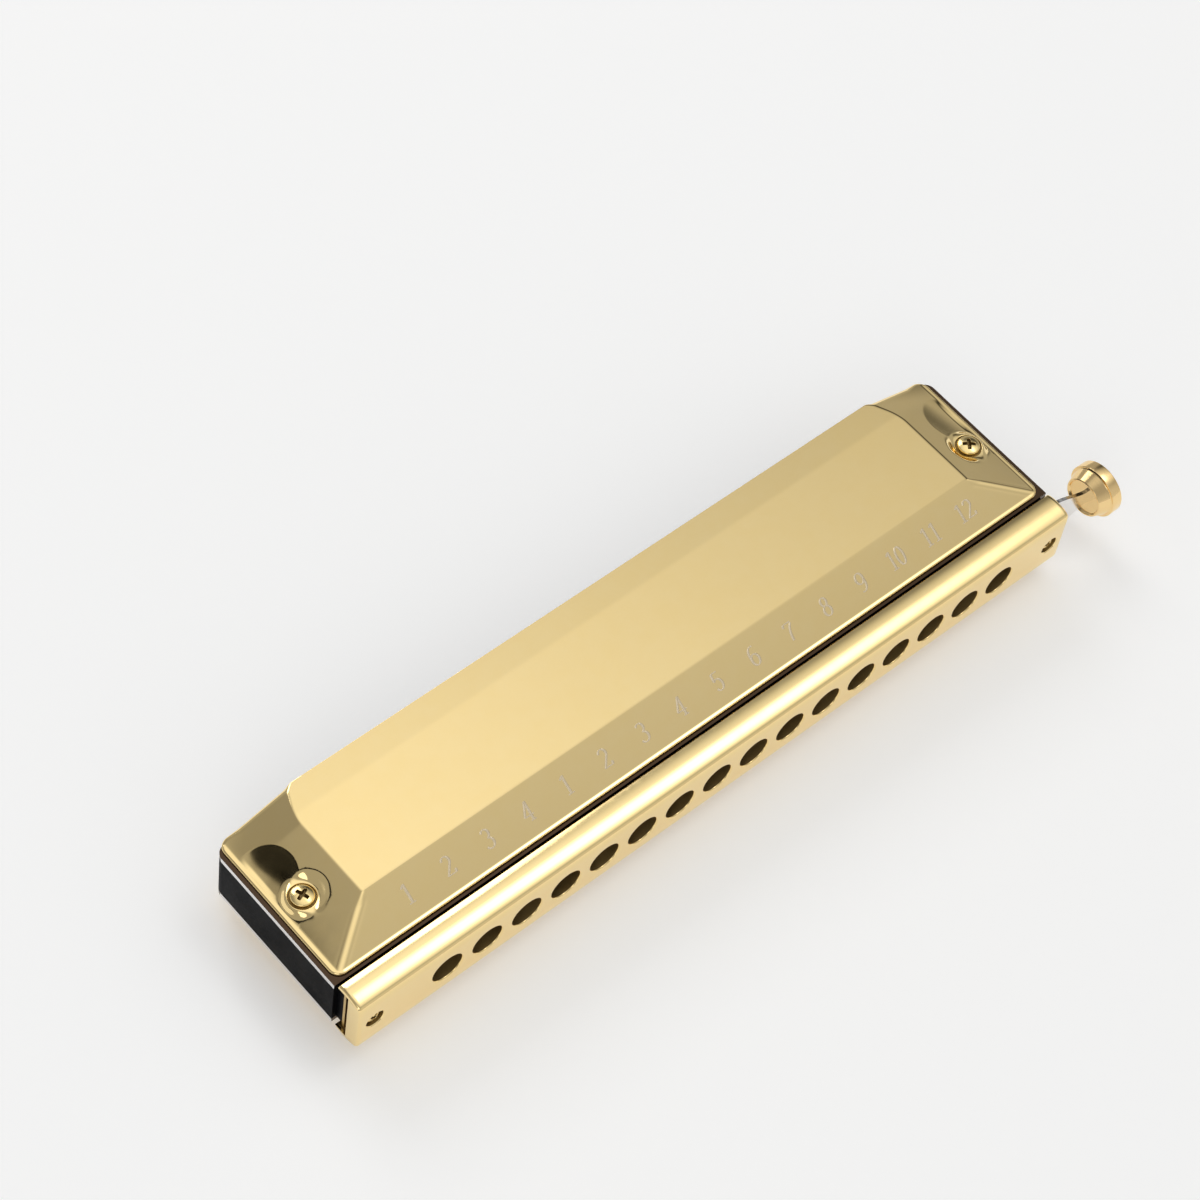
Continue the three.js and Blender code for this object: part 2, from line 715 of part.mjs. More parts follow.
for (const [label, side] of [["left", -1], ["right", 1]]) {
  place(`${label}_slide_sleeve`, makeSleeve(), 0x2a2a2c, 0.7, 0).position.x = side * mouthScrewX;

  const mouthShank = noseFront + mouthScrewReach - mouthScrewSink - mouthScrewHeadLength;
  const mouthScrew = makeScrew(
    mouthScrewHead,
    mouthScrewHeadLength,
    mouthScrewShank,
    mouthShank,
    smallRoundSteps,
  ).rotateX(Math.PI / 2);
  const seated = place(`${label}_mouthpiece_screw`, mouthScrew, ...gold);
  seated.position.set(side * mouthScrewX, mouthScrewSink + mouthScrewHeadLength, 0);

  const boltLength = 2 * boltSeat + nutThickness;
  const bolt = makeScrew(boltHeadDiameter, boltHeadHeight, boltShank, boltLength, roundSteps);
  place(`${label}_cover_bolt`, bolt, ...gold).position.set(side * boltX, boltY, boltSeat);

  const nut = place(`${label}_cover_nut`, makeNut(), ...gold);
  nut.position.set(side * boltX, boltY, -boltSeat - nutThickness);
}

plateScrewPlaces().forEach(([x, y], index) => {
  const screw = makeScrew(
    plateScrewHead,
    plateScrewHeadHeight,
    plateScrewShank,
    plateThickness + plateScrewReach,
    smallRoundSteps,
  );
  place(`top_plate_screw_${index + 1}`, screw, ...silver).position.set(x, y, plateTop);
  place(`bottom_plate_screw_${index + 1}`, flipped(screw), ...silver).position.set(x, y, -plateTop);
});

export default instrument;
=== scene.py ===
# %% [markdown]
# A chromatic harmonica in polished gold, dressed over its solid model. Each cell below makes one
# step: the view, the studio, the finishes, and then the pieces from the outside in. The solid model
# gives every place and size, so the first thing to do is load it and read what it measures.

# %% Load the solid model
import math
import bpy
import bmesh
import numpy as np
from mathutils import Matrix, Vector


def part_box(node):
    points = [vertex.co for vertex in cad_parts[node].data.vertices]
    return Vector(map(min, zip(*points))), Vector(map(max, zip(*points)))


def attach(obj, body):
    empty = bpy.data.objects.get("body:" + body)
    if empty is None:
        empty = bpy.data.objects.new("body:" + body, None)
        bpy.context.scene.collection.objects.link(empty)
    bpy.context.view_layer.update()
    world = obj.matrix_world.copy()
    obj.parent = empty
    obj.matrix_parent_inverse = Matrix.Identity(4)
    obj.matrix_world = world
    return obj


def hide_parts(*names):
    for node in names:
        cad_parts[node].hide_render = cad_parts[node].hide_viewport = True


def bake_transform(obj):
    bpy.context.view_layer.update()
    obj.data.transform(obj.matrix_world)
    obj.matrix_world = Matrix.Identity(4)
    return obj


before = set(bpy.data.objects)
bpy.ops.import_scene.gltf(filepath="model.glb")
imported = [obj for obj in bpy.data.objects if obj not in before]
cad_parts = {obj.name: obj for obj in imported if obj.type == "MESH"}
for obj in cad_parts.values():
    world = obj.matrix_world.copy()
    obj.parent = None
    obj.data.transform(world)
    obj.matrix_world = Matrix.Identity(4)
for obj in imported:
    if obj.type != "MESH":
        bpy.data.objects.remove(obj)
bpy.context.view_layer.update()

mm = 0.001


# %% Sizes shared by several pieces, in millimetres
def measured(node):
    """Lowest corner, middle and highest corner of a solid, in millimetres."""
    low, high = np.array(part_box(node)) / mm
    return low, (low + high) / 2, high


mouth_low, _, mouth_high = measured("mouthpiece")
cover_low, _, cover_high = measured("top_cover")
mouth_x, cover_x = mouth_high[0], cover_high[0]     # half lengths
front_y, back_y = mouth_low[1], mouth_high[1]       # of the mouthpiece
cover_y = cover_low[1], cover_high[1]
cover_z = cover_low[2], cover_high[2]
cover_middle = (cover_y[0] + cover_y[1]) / 2
cover_half = (cover_y[1] - cover_y[0]) / 2
middle_z = cover_z[1] / 2
hole_count = 16
hole_pitch = 9.5
hole_shift = 1.3        # of the middle of the row of holes, along X
hole_x = hole_shift + (np.arange(hole_count) - (hole_count - 1) / 2) * hole_pitch
print("half lengths", round(mouth_x, 2), round(cover_x, 2), "middle height", round(middle_z, 2))
print("holes from", round(hole_x[0], 2), "to", round(hole_x[-1], 2))

# %% [markdown]
# The camera looks down on the instrument from the front left, a little above its lower end. Its place
# and turn were worked out from the row of blow holes and the cover's corners. A long lens keeps the
# two ends almost the same size, as in a product photograph.

# %% Camera
view_right = Vector((0.75232, -0.65085, 0.10202))
view_down = Vector((-0.49695, -0.66232, -0.56070))
view_forward = Vector((0.43250, 0.37112, -0.82171))
view_place = Vector((-0.29644, -0.24141, 0.58577))      # in metres
lens_widths = 3563.88 / 1200                            # focal length in widths of the picture
camera_data = bpy.data.cameras.new("camera")
camera_data.sensor_width = 36
camera_data.lens = lens_widths * camera_data.sensor_width
camera = bpy.data.objects.new("camera", camera_data)
view_turn = Matrix((view_right, -view_down, -view_forward)).transposed().to_4x4()
camera.matrix_world = Matrix.Translation(view_place) @ view_turn
bpy.context.collection.objects.link(camera)
bpy.context.scene.camera = camera
print("lens", round(camera_data.lens, 2), "mm, camera at", [round(v, 3) for v in view_place])

# %% [markdown]
# Polished metal shows its surroundings, so the studio matters more than the colour of the gold. A
# tent of soft light stands round the table. It is brightest in one broad patch overhead, and dimmer
# to the right, so that the plateau of the cover fades from end to end. A narrow lamp over the front
# edge draws the bright line along the roll of the mouthpiece, and a small dark card behind the left
# end puts one deep reflection there. Two large lamps, one behind and one in front, add shadows.

# %% Nodes in few words
def connect(tree, node, inputs):
    """Gives inputs of a node, by name or number, a value each or a link from a socket."""
    for place, value in inputs.items():
        if isinstance(value, bpy.types.NodeSocket):
            tree.links.new(value, node.inputs[place])
        else:
            node.inputs[place].default_value = value


def new_node(tree, kind, inputs=None, **settings):
    """Adds a shader node of one kind, sets its properties and then its inputs."""
    node = tree.nodes.new("ShaderNode" + kind)
    for key, value in settings.items():
        setattr(node, key, value)
    connect(tree, node, inputs or {})
    return node


def maths(tree, operation, *terms):
    """Result of one step of arithmetic on sockets and values."""
    return new_node(tree, "Math", dict(enumerate(terms)), operation=operation).outputs[0]


# %% Floor
floor_half = 3.0        # half its width, in metres
floor_glow = 0.22       # lifts its tone where it is looked at, straight or in a reflection
floor_mesh = bpy.data.meshes.new("floor")
floor_corners = [(x * floor_half, y * floor_half, 0) for x, y in ((-1, -1), (1, -1), (1, 1), (-1, 1))]
floor_mesh.from_pydata(floor_corners, [], [(0, 1, 2, 3)])
floor = bpy.data.objects.new("floor", floor_mesh)
bpy.context.collection.objects.link(floor)
floor_paint = bpy.data.materials.new("pale floor")
floor_paint.use_nodes = True
floor_tree = floor_paint.node_tree
ray = new_node(floor_tree, "LightPath").outputs
looked_at = maths(floor_tree, "ADD", ray["Is Camera Ray"], ray["Is Glossy Ray"])
looked_at = maths(floor_tree, "ADD", looked_at, ray["Is Transmission Ray"])
connect(floor_tree, floor_tree.nodes["Principled BSDF"], {
    "Base Color": (0.9, 0.9, 0.895, 1),
    "Roughness": 0.9,
    "Specular IOR Level": 0.1,
    "Emission Color": (1, 1, 1, 1),
    "Emission Strength": maths(floor_tree, "MULTIPLY", looked_at, floor_glow),
})
floor_mesh.materials.append(floor_paint)
print("floor", 2 * floor_half, "m across")

# %% Tent of light
tent_base = 0.40        # light that comes from everywhere
tent_least = 0.008      # what stays where dark patches take away more than there is
world = bpy.data.worlds.new("light tent")
bpy.context.scene.world = world
world.use_nodes = True
tent = world.node_tree
direction = new_node(tent, "TexCoord").outputs["Generated"]
direction_parts = new_node(tent, "SeparateXYZ", {0: direction}).outputs


def fall_off(value, none, full, strength=1):
    """Light that changes smoothly with a value, from nothing at none to its strength at full."""
    limits = {"Value": value, "From Min": none, "From Max": full, "To Max": strength}
    return new_node(tent, "MapRange", limits, interpolation_type="SMOOTHSTEP").outputs["Result"]


def soft_patch(aim, inner, outer, strength):
    """Light that is full within inner degrees of a direction and falls smoothly to none at outer degrees."""
    aimed = {0: direction, 1: Vector(aim).normalized()}
    cosine = new_node(tent, "VectorMath", aimed, operation="DOT_PRODUCT").outputs["Value"]
    return fall_off(cosine, math.cos(math.radians(outer)), math.cos(math.radians(inner)), strength)


def soft_card(middle, half, edge, strength):
    """Light from a card with straight sides: full where X and Y of the direction both lie within half of
    the middle, and none where they are an edge further out."""
    light = strength
    for part, centre, reach, beyond in zip(direction_parts, middle, half, edge):
        off = maths(tent, "ABSOLUTE", maths(tent, "SUBTRACT", part, centre))
        light = maths(tent, "MULTIPLY", fall_off(off, reach + beyond, reach), light)
    return light


patches = [
    soft_patch((0.33, 0.05, 0.943), 10, 44, 0.70),                          # overhead
    soft_card((0.40, -0.08), (0.05, 0.05), (0.10, 0.27), 1.9),              # lamp over the front edge
    soft_patch((0.3, -0.95, 0.15), 10, 45, 0.25),                           # front wall
    soft_patch((0.70, 0.35, 0.62), 8, 27, -0.40),                           # dimmer to the right
    soft_patch((1, 0.2, 0), 15, 50, 0.03),                                  # right wall
    soft_patch((1, 0.3, -0.05), 6, 17, -0.30),                              # its dark foot
    soft_card((-0.452, 0.375), (0.072, 0.155), (0.014, 0.03), -0.38),       # dark card
    soft_card((-0.27, 0.62), (0.12, 0.20), (0.05, 0.04), -0.09),            # dimmer behind the left end
    soft_patch((0, 0, -1), 80, 97, 0.30),                                   # low walls
]
light = tent_base
for patch in patches:
    light = maths(tent, "ADD", patch, light)
light = maths(tent, "MAXIMUM", light, tent_least)
connect(tent, tent.nodes["Background"], {"Color": (1, 1, 1, 1), "Strength": light})


# %% Lamps
def soft_lamp(name, place, size, radiance):
    """A square lamp that faces the instrument: its power is pi times its area times its brightness."""
    data = bpy.data.lights.new(name, "AREA")
    data.shape = "SQUARE"
    data.size = size
    data.energy = math.pi * size * size * radiance
    lamp = bpy.data.objects.new(name, data)
    lamp.location = place
    lamp.rotation_euler = (-Vector(place)).to_track_quat("-Z", "Y").to_euler()
    bpy.context.collection.objects.link(lamp)


soft_lamp("front lamp", (-1.1, -0.9, 1.0), 0.8, 1.2)
soft_lamp("back lamp", (0.3, 1.4, 1.2), 0.9, 2.4)
bpy.context.scene.view_settings.view_transform = "Standard"
print("studio: tent of", len(patches), "patches of light, and two lamps")

# %% [markdown]
# Three effects turn up in several finishes, so each is a node group. Haze is the faint unevenness
# that polishing leaves in the gloss. Ripple is the slow waviness of thin pressed sheet, which bends
# reflections a little. Hairlines are the fine parallel lines of brushed or turned metal.

# %% Shared effects
def effect_group(name, output, output_kind, **inputs):
    """A node group with named inputs and one output. Gives the group, the place on the object, the
    sockets of the inputs, and the node that takes the output."""
    group = bpy.data.node_groups.new(name, "ShaderNodeTree")
    for label, value in inputs.items():
        kind = "NodeSocketVector" if isinstance(value, tuple) else "NodeSocketFloat"
        group.interface.new_socket(label, in_out="INPUT", socket_type=kind).default_value = value
    group.interface.new_socket(output, in_out="OUTPUT", socket_type=output_kind)
    place = new_node(group, "TexCoord").outputs["Object"]
    return group, place, group.nodes.new("NodeGroupInput").outputs, group.nodes.new("NodeGroupOutput")


def noise(tree, place, scale, detail):
    """Value of a noise texture at a place."""
    return new_node(tree, "TexNoise", {"Vector": place, "Scale": scale, "Detail": detail}).outputs["Fac"]


# Haze: two noises, one 14 times finer than the other, added and stretched between Low and High.
haze, place, given, sink = effect_group("haze", "Mask", "NodeSocketFloat", Scale=60.0, Low=0.0, High=1.0)
broad = noise(haze, place, given["Scale"], 2)
fine = noise(haze, place, maths(haze, "MULTIPLY", given["Scale"], 14), 6)
limits = {"Value": maths(haze, "ADD", broad, fine), "From Min": 0.7, "From Max": 1.3,
          "To Min": given["Low"], "To Max": given["High"]}
connect(haze, sink, {"Mask": new_node(haze, "MapRange", limits).outputs["Result"]})

# Ripple: the normal of a slow noise of the given height.
ripple, place, given, sink = effect_group("ripple", "Normal", "NodeSocketVector", Scale=40.0, Height=0.0001)
slow = noise(ripple, place, given["Scale"], 1)
bump = new_node(ripple, "Bump", {"Strength": 1, "Height": slow, "Distance": given["Height"]})
connect(ripple, sink, {"Normal": bump.outputs["Normal"]})

# Hairlines: a noise squeezed by Stretch, so that it is long along the small components.
hairlines, place, given, sink = effect_group("hairlines", "Mask", "NodeSocketFloat",
                                             Stretch=(60.0, 6000.0, 6000.0))
squeezed = new_node(hairlines, "VectorMath", {0: place, 1: given["Stretch"]}, operation="MULTIPLY")
connect(hairlines, sink, {"Mask": noise(hairlines, squeezed.outputs[0], 1, 3)})
print("effects:", haze.name, ripple.name, hairlines.name)


# %% Ways to finish a surface
def on_shader(material, inputs):
    """Gives inputs of a material's shader a value each or a link from a socket."""
    connect(material.node_tree, material.node_tree.nodes["Principled BSDF"], inputs)


def effect(material, group, **values):
    """Output of a shared effect in a material, with this material's own values."""
    return new_node(material.node_tree, "Group", values, node_tree=group).outputs[0]


def finish(name, colour, metallic, scale, low, high):
    """A material of one colour whose roughness wanders between low and high as haze does."""
    material = bpy.data.materials.new(name)
    material.use_nodes = True
    roughness = effect(material, haze, Scale=scale, Low=low, High=high)
    on_shader(material, {"Base Color": (*colour, 1), "Metallic": metallic, "Roughness": roughness})
    return material


def two_tones(material, share, first, second):
    """Base colour passes from the first tone to the second as the share goes from 0 to 1."""
    tones = {"Factor": share, "A": (*first, 1), "B": (*second, 1)}
    mix = new_node(material.node_tree, "Mix", tones, data_type="RGBA")
    on_shader(material, {"Base Color": mix.outputs["Result"]})


def vary_colour(material, scale, first, second):
    """Base colour wanders between two near tones."""
    two_tones(material, effect(material, haze, Scale=scale), first, second)


def wavy(material, scale, height):
    """The surface normal follows the ripple effect."""
    on_shader(material, {"Normal": effect(material, ripple, Scale=scale, Height=height)})


def brushed(material, stretch, height):
    """Fine lines of the given height, stretched by one factor along each axis."""
    lines = {"Strength": 1, "Distance": height, "Height": effect(material, hairlines, Stretch=stretch)}
    on_shader(material, {"Normal": new_node(material.node_tree, "Bump", lines).outputs["Normal"]})


def dulled_beside_covers(material, bright, shade_tone, ledge, strip):
    """Base colour turns to a painted shade where the gap by the covers is shaded: on the ledge beside
    the covers' ends and on the strip along their front edge, up to the given widths. Elsewhere it is bright."""
    tree = material.node_tree
    parts = new_node(tree, "SeparateXYZ", {0: new_node(tree, "TexCoord").outputs["Object"]}).outputs
    far = maths(tree, "ABSOLUTE", parts["X"])
    near_ends = maths(tree, "GREATER_THAN", far, (cover_x - 1) * mm)
    in_front = maths(tree, "LESS_THAN", parts["Y"], (cover_y[0] + strip) * mm)
    within = maths(tree, "LESS_THAN", far, (cover_x + ledge) * mm)
    shaded_place = maths(tree, "MULTIPLY", within, maths(tree, "MAXIMUM", near_ends, in_front))
    two_tones(material, shaded_place, bright, shade_tone)


# %% Finishes
gold_tones = (0.97, 0.755, 0.37), (0.965, 0.74, 0.345)
silver_tone = (0.82, 0.81, 0.80)

pressed_gold = finish("pressed gold sheet", (0.97, 0.75, 0.36), 1, 30, 0.05, 0.09)
vary_colour(pressed_gold, 25, *gold_tones)
wavy(pressed_gold, 45, 0.00002)

solid_gold = finish("milled gold bar", (0.97, 0.75, 0.36), 1, 40, 0.08, 0.14)
vary_colour(solid_gold, 30, *gold_tones)

turned_gold = finish("turned gold", (0.95, 0.69, 0.33), 1, 80, 0.12, 0.2)
brushed(turned_gold, (4000.0, 60.0, 60.0), 0.000004)

# Painted shade: this dark gold stands in for the shade inside holes, recesses, wells and at the foot of a
# wall.
painted_shade_gold = finish("gold painted with shade", (0.26, 0.18, 0.07), 1, 150, 0.42, 0.6)
screw_gold = finish("screw gold", (0.93, 0.72, 0.33), 1, 200, 0.1, 0.2)

silver = finish("silver plate", silver_tone, 1, 120, 0.12, 0.24)
# painted shade: near-black brown on the silver where the gap beside the covers lies in shade
dulled_beside_covers(silver, silver_tone, (0.08, 0.05, 0.03), 0.96, 0.7)
wavy(silver, 900, 0.000002)

slide_silver = finish("polished slide", (0.80, 0.79, 0.78), 1, 80, 0.14, 0.24)
brushed(slide_silver, (80.0, 5000.0, 5000.0), 0.000003)

plain_brass = finish("plain brass", (0.70, 0.50, 0.20), 1, 90, 0.24, 0.38)
brushed(plain_brass, (60.0, 4000.0, 4000.0), 0.000005)

comb_plastic = finish("black comb plastic", (0.005, 0.005, 0.006), 0, 150, 0.34, 0.5)
on_shader(comb_plastic, {"Specular IOR Level": 0.02})
wavy(comb_plastic, 2500, 0.000006)

sleeve_plastic = finish("sleeve plastic", (0.05, 0.05, 0.055), 0, 300, 0.42, 0.6)
spring_wire = finish("spring wire", (0.55, 0.55, 0.56), 1, 400, 0.2, 0.34)
valve_film = finish("valve film", (0.62, 0.60, 0.52), 0, 200, 0.32, 0.5)
etched_gold = finish("etched gold", (0.86, 0.72, 0.50), 1, 500, 0.32, 0.46)
print("finishes:", len(bpy.data.materials) - 1)

# %% [markdown]
# Every piece below is a surface worked out as whole arrays. A grid has rows and columns of points,
# and neighbouring points make four-sided faces. The helpers here turn such arrays into an object
# whose place is in its mesh.

# %% Points and faces
def full_turn(steps):
    """Even angles once round."""
    return np.linspace(0, 2 * np.pi, steps, endpoint=False)


def spaced(limits, steps):
    """Places, or points, from the first limit to the last, with each stretch divided into its own number
    of steps."""
    stretches = [np.linspace(a, b, n, endpoint=False) for a, b, n in zip(limits[:-1], limits[1:], steps)]
    return np.concatenate(stretches + [np.array([limits[-1]])])


def grid_faces(rows, columns, round_columns=False):
    """Four-sided faces between neighbouring rows and columns; round_columns joins the last column to the
    first."""
    last = columns if round_columns else columns - 1
    row, column = np.meshgrid(np.arange(rows - 1), np.arange(last), indexing="ij")
    after = (column + 1) % columns
    quads = [row * columns + column, row * columns + after,
             (row + 1) * columns + after, (row + 1) * columns + column]
    return np.stack(quads, axis=-1).reshape(-1, 4)


def joined(parts):
    """One array of points and one of faces from several (points, faces) pairs."""
    points, faces, start = [], [], 0
    for part_points, part_faces in parts:
        points.append(part_points.reshape(-1, 3))
        faces.append(part_faces + start)
        start += len(points[-1])
    return np.concatenate(points), np.concatenate(faces)


def lathe(profile, steps):
    """Surface of revolution about X: profile rows of (along, radius), turned through steps angles."""
    angle = full_turn(steps)
    along, radius = profile[:, :1], profile[:, 1:]
    points = np.stack([along + 0 * angle, radius * np.cos(angle), radius * np.sin(angle)], axis=-1)
    return points, grid_faces(len(profile), steps, round_columns=True)


def rings_about_z(rows, steps):
    """Surface round Z with a ring for each row of (radius, height), both a number or a value per step."""
    angle = full_turn(steps)
    rings = [np.stack([r * np.cos(angle), r * np.sin(angle), z + 0 * angle], -1) for r, z in rows]
    return np.stack(rings), grid_faces(len(rows), steps, round_columns=True)


# %% Pieces
weld = 0.002            # points closer than this become one


def make_piece(name, points, faces, material, sharp, outward=True):
    """A piece from points in millimetres: doubles merged, normals made to point out, and edges sharper
    than the given angle left crisp."""
    mesh = bpy.data.meshes.new(name)
    mesh.from_pydata((points.reshape(-1, 3) * mm).tolist(), [], faces.tolist())
    work = bmesh.new()
    work.from_mesh(mesh)
    bmesh.ops.remove_doubles(work, verts=work.verts, dist=weld * mm)
    bmesh.ops.dissolve_degenerate(work, edges=work.edges, dist=weld * mm / 4)
    if outward:
        bmesh.ops.recalc_face_normals(work, faces=work.faces)
    work.to_mesh(mesh)
    work.free()
    mesh.materials.append(material)
    mesh.polygons.foreach_set("use_smooth", np.ones(len(mesh.polygons), dtype=bool))
    mesh.set_sharp_from_angle(angle=math.radians(sharp))
    piece = bpy.data.objects.new(name, mesh)
    bpy.context.collection.objects.link(piece)
    print(name, len(mesh.vertices), "points,", len(mesh.polygons), "faces")
    return piece


def paint(piece, material, chosen):
    """Gives a second finish to the faces whose middles, in millimetres, the chosen test picks."""
    mesh = piece.data
    middles = np.empty(3 * len(mesh.polygons))
    mesh.polygons.foreach_get("center", middles)
    mesh.materials.append(material)
    mesh.polygons.foreach_set("material_index", chosen(middles.reshape(-1, 3) / mm).astype(np.int32))
    mesh.update()


def crease_along(piece, chosen):
    """Leaves crisp the edges whose two ends, in millimetres, the chosen test of X and Y picks."""
    mesh = piece.data
    places = np.empty(3 * len(mesh.vertices))
    mesh.vertices.foreach_get("co", places)
    x, y = places.reshape(-1, 3)[:, :2].T / mm
    ends = np.empty(2 * len(mesh.edges), dtype=np.int32)
    mesh.edges.foreach_get("vertices", ends)
    sharp = np.empty(len(mesh.edges), dtype=bool)
    mesh.edges.foreach_get("use_edge_sharp", sharp)
    sharp |= chosen(x, y)[ends.reshape(-1, 2)].all(axis=1)
    mesh.edges.foreach_set("use_edge_sharp", sharp)


# %% [markdown]
# The covers are pressed from thin sheet: a long level plateau, a front face and two end faces that
# slope to a narrow level rim, and an open back. A box with bevels would give even, dead edges. Here
# the sheet is one height above each point: the lowest of the sloping planes, with a soft change from
# one to the next, so that the folds are narrow rounded bands as on the real one.

# %% Cover sizes
rim_level = 0.65        # of the rim above the reed plate
rim_front = 0.6         # width of the level rim
rim_end = 1.05
rim_round = 0.45        # radius of its outer edge
rim_fold = 0.05         # how softly the planes pass into the rim
past_rim = (0.8, 1.9)   # in widths of the end rim: where bowl and pad may begin, and where they are whole
back_round = 1.3        # radius of the back edge beside the opening
back_blend = (5, 2)     # in from the back edge: where that radius begins to grow, and where it is reached
open_blend = (-0.6, 1.4)        # from band_x: where the edge begins to be round, and where it is
steepest_round = 0.7    # the most that an edge's rounding takes of the height
rim_corner = 2.4
sheet = 0.6
plateau_x = 76.9
plateau_y = (-10.0, 10.0)
band_x = 73.5
band_drop = 0.16        # of the strip behind the plateau
band_folds = (2.4, 0.4)         # how softly the strip starts to lean in at its ends, and to drop
hip_fold = 0.42         # how softly an end plane passes into the front plane
crisp_fold = 0.12       # the same where it meets the plateau
front_fold = 0.004      # the same along the plateau's front edge
hip_drop = (0.1, 1.0)   # below the plateau: where the crisp fold ends and the hip's begins
lip_slope = 0.06        # slope up to the front edge, where the sheet was drawn over it
lip_reach = 0.5         # from the edge to where the slope has died away
pinch = 0.012           # depth of the groove on each side of a hip
pinch_place, pinch_width = 1.45, 0.4    # of that groove, in softnesses of the fold
end_crown = 0.03        # how far an end plane swells between its edges
crown_fade = 0.9        # share of the swelling that is lost towards the front and the back
lens_x, lens_y = 87.3, 4.6      # middle of the shallow bowl behind each bolt
lens_reach = (5.5, 6.0)
lens_depth = 0.34
bolt_x, bolt_y = 85.05, -2.9
bolt_hole = 1.35
pad_level = 2.2         # of the level pad round a bolt, above the reed plate
pad_radius = 2.8
pad_reach = 4.3, 5.2    # radius where the pad has passed into the slope, outwards and inwards
pad_rings = (3.7, 3.5, 3.35, 3.2, 3.08, 2.96, 2.86)     # radii of the skin's rings round a bolt
seat_level = 1.8        # of the seat under the bolt's head
well_radius = 2.7
patch_half = 4.2        # half the width of the square of rings round a bolt
painted_shade_foot = 0.3        # height of the wall's foot round the cover that gets painted shade
touch = 0.01            # places as close as this count as the same
print("cover height", round(cover_z[1] - cover_z[0], 2))


# %% Cover height
def soft_min(a, b, softness):
    """The smaller of two heights, rounded off where they differ by less than softness."""
    share = np.clip(0.5 + 0.5 * (b - a) / softness, 0, 1)
    return b + (a - b) * share - softness * share * (1 - share)


def folded(a, b, softness, groove):
    """The smaller of two heights as soft_min gives it, less a groove of the given depth on each side."""
    beside = np.exp(-((np.abs(b - a) / softness - pinch_place) / pinch_width) ** 2)
    return soft_min(a, b, softness) - groove * beside


def smooth(low, high, value):
    """0 below low, 1 above high, and a smooth S between them."""
    share = np.clip((value - low) / (high - low), 0, 1)
    return share * share * (3 - 2 * share)


def pressed_height(x, y):
    """Height of the pressed sheet over the reed plate without its pads: the lowest of the plateau with the
    strip behind it, the front plane and the end plane, which swells a little and leans in behind the
    plateau; never below the level rim."""
    top = cover_z[1] - cover_z[0]
    front_edge = cover_y[0] + rim_front
    front = rim_level + (y - front_edge) * (top - rim_level) / (plateau_y[0] - front_edge)
    behind, crisp = [-soft_min(np.zeros_like(y), plateau_y[1] - y, softness) / (cover_y[1] - plateau_y[1])
                     for softness in band_folds]
    crease = plateau_x - behind * (plateau_x - band_x)
    climb = (cover_x - rim_end - np.abs(x)) / (cover_x - rim_end - crease)
    deep = (y - cover_middle) / cover_half
    swell = (1 - (2 * np.clip(climb, 0, 1) - 1) ** 2) * (1 - crown_fade * deep ** 2)
    end = rim_level + climb * (top - rim_level) + end_crown * swell
    t = np.clip((y - plateau_y[0]) / lip_reach, 0, 1)
    plateau = top - lip_slope * lip_reach * (t - t ** 3 + t ** 4 / 2) - band_drop * crisp
    upper = soft_min(plateau, front, front_fold)
    on_hip = smooth(*hip_drop, top - front)
    height = folded(upper, end, crisp_fold + (hip_fold - crisp_fold) * on_hip, pinch * on_hip)
    return -soft_min(-height, np.full_like(x, -rim_level), rim_fold)


def cover_height(x, y):
    """Pressed height less a shallow bowl, d (1 - u u - v v), behind each bolt, and brought to a level pad
    round the bolt. Both leave the rim as it is."""
    inside = smooth(rim_end * past_rim[0], rim_end * past_rim[1], cover_x - np.abs(x))
    u, v = (np.abs(x) - lens_x) / lens_reach[0], (y - lens_y) / lens_reach[1]
    height = pressed_height(x, y) - lens_depth * np.maximum(1 - u * u - v * v, 0) * inside
    distance = np.hypot(np.abs(x) - bolt_x, y - bolt_y)
    inwards = 0.5 - 0.5 * (np.abs(x) - bolt_x) / np.maximum(distance, 1e-6)
    reach = pad_reach[0] + (pad_reach[1] - pad_reach[0]) * inwards
    outside = np.clip((distance - pad_radius) / (reach - pad_radius), 0, 1)
    share = (1 - outside ** 2) ** 3
    return height + (pad_level - height) * share * inside


# %% Cover grid
def edge_spacing(radius, steps):
    """Distances in from an edge that follow its rounding in even angles, from 0 up to the radius."""
    return radius * (1 - np.cos(np.linspace(0, np.pi / 2, steps)))


def grid_lines():
    """Places of the grid's lines along X and along Y: close at the edges, the folds and the bolts. Each
    list of steps says how many lie between one place and the next."""
    edge = edge_spacing(rim_round, 7)
    end_fold, lip, band_fold = 4, 0.8, 1.5      # reach of the close lines from these places
    across = [cover_x - rim_round, bolt_x + patch_half, bolt_x - patch_half, plateau_x - end_fold, 0]
    half = np.concatenate([cover_x - edge, spaced(across, [3, 46, 42, 20])[1:]])
    deep = [cover_y[0] + rim_round, plateau_y[0], plateau_y[0] + lip, bolt_y - patch_half,
            bolt_y + patch_half, plateau_y[1] - band_fold, plateau_y[1] + band_fold, cover_y[1] - back_round]
    inner = spaced(deep, [46, 12, 5, 28, 26, 14, 10])[1:-1]
    back = (cover_y[1] - edge_spacing(back_round, 9))[::-1]
    return np.concatenate([-half, half[::-1][1:]]), np.concatenate([cover_y[0] + edge, inner, back])


def past_straight(x, y):
    """How far places lie beyond the straight stretches of the cover's outline, along X and along Y."""
    return np.abs(x) - (cover_x - rim_corner), np.abs(y - cover_middle) - (cover_half - rim_corner)


def round_corners(x, y):
    """Draws the corner squares of the cover's rectangle in to quarter discs: (a, b) goes to
    (a sqrt(1 - b b / 2), b sqrt(1 - a a / 2)) in units of the corner radius."""
    a, b = [np.clip(past / rim_corner, 0, 1) for past in past_straight(x, y)]
    off_x, off_y = a * (1 - np.sqrt(1 - b * b / 2)), b * (1 - np.sqrt(1 - a * a / 2))
    return x - np.sign(x) * rim_corner * off_x, y - np.sign(y - cover_middle) * rim_corner * off_y


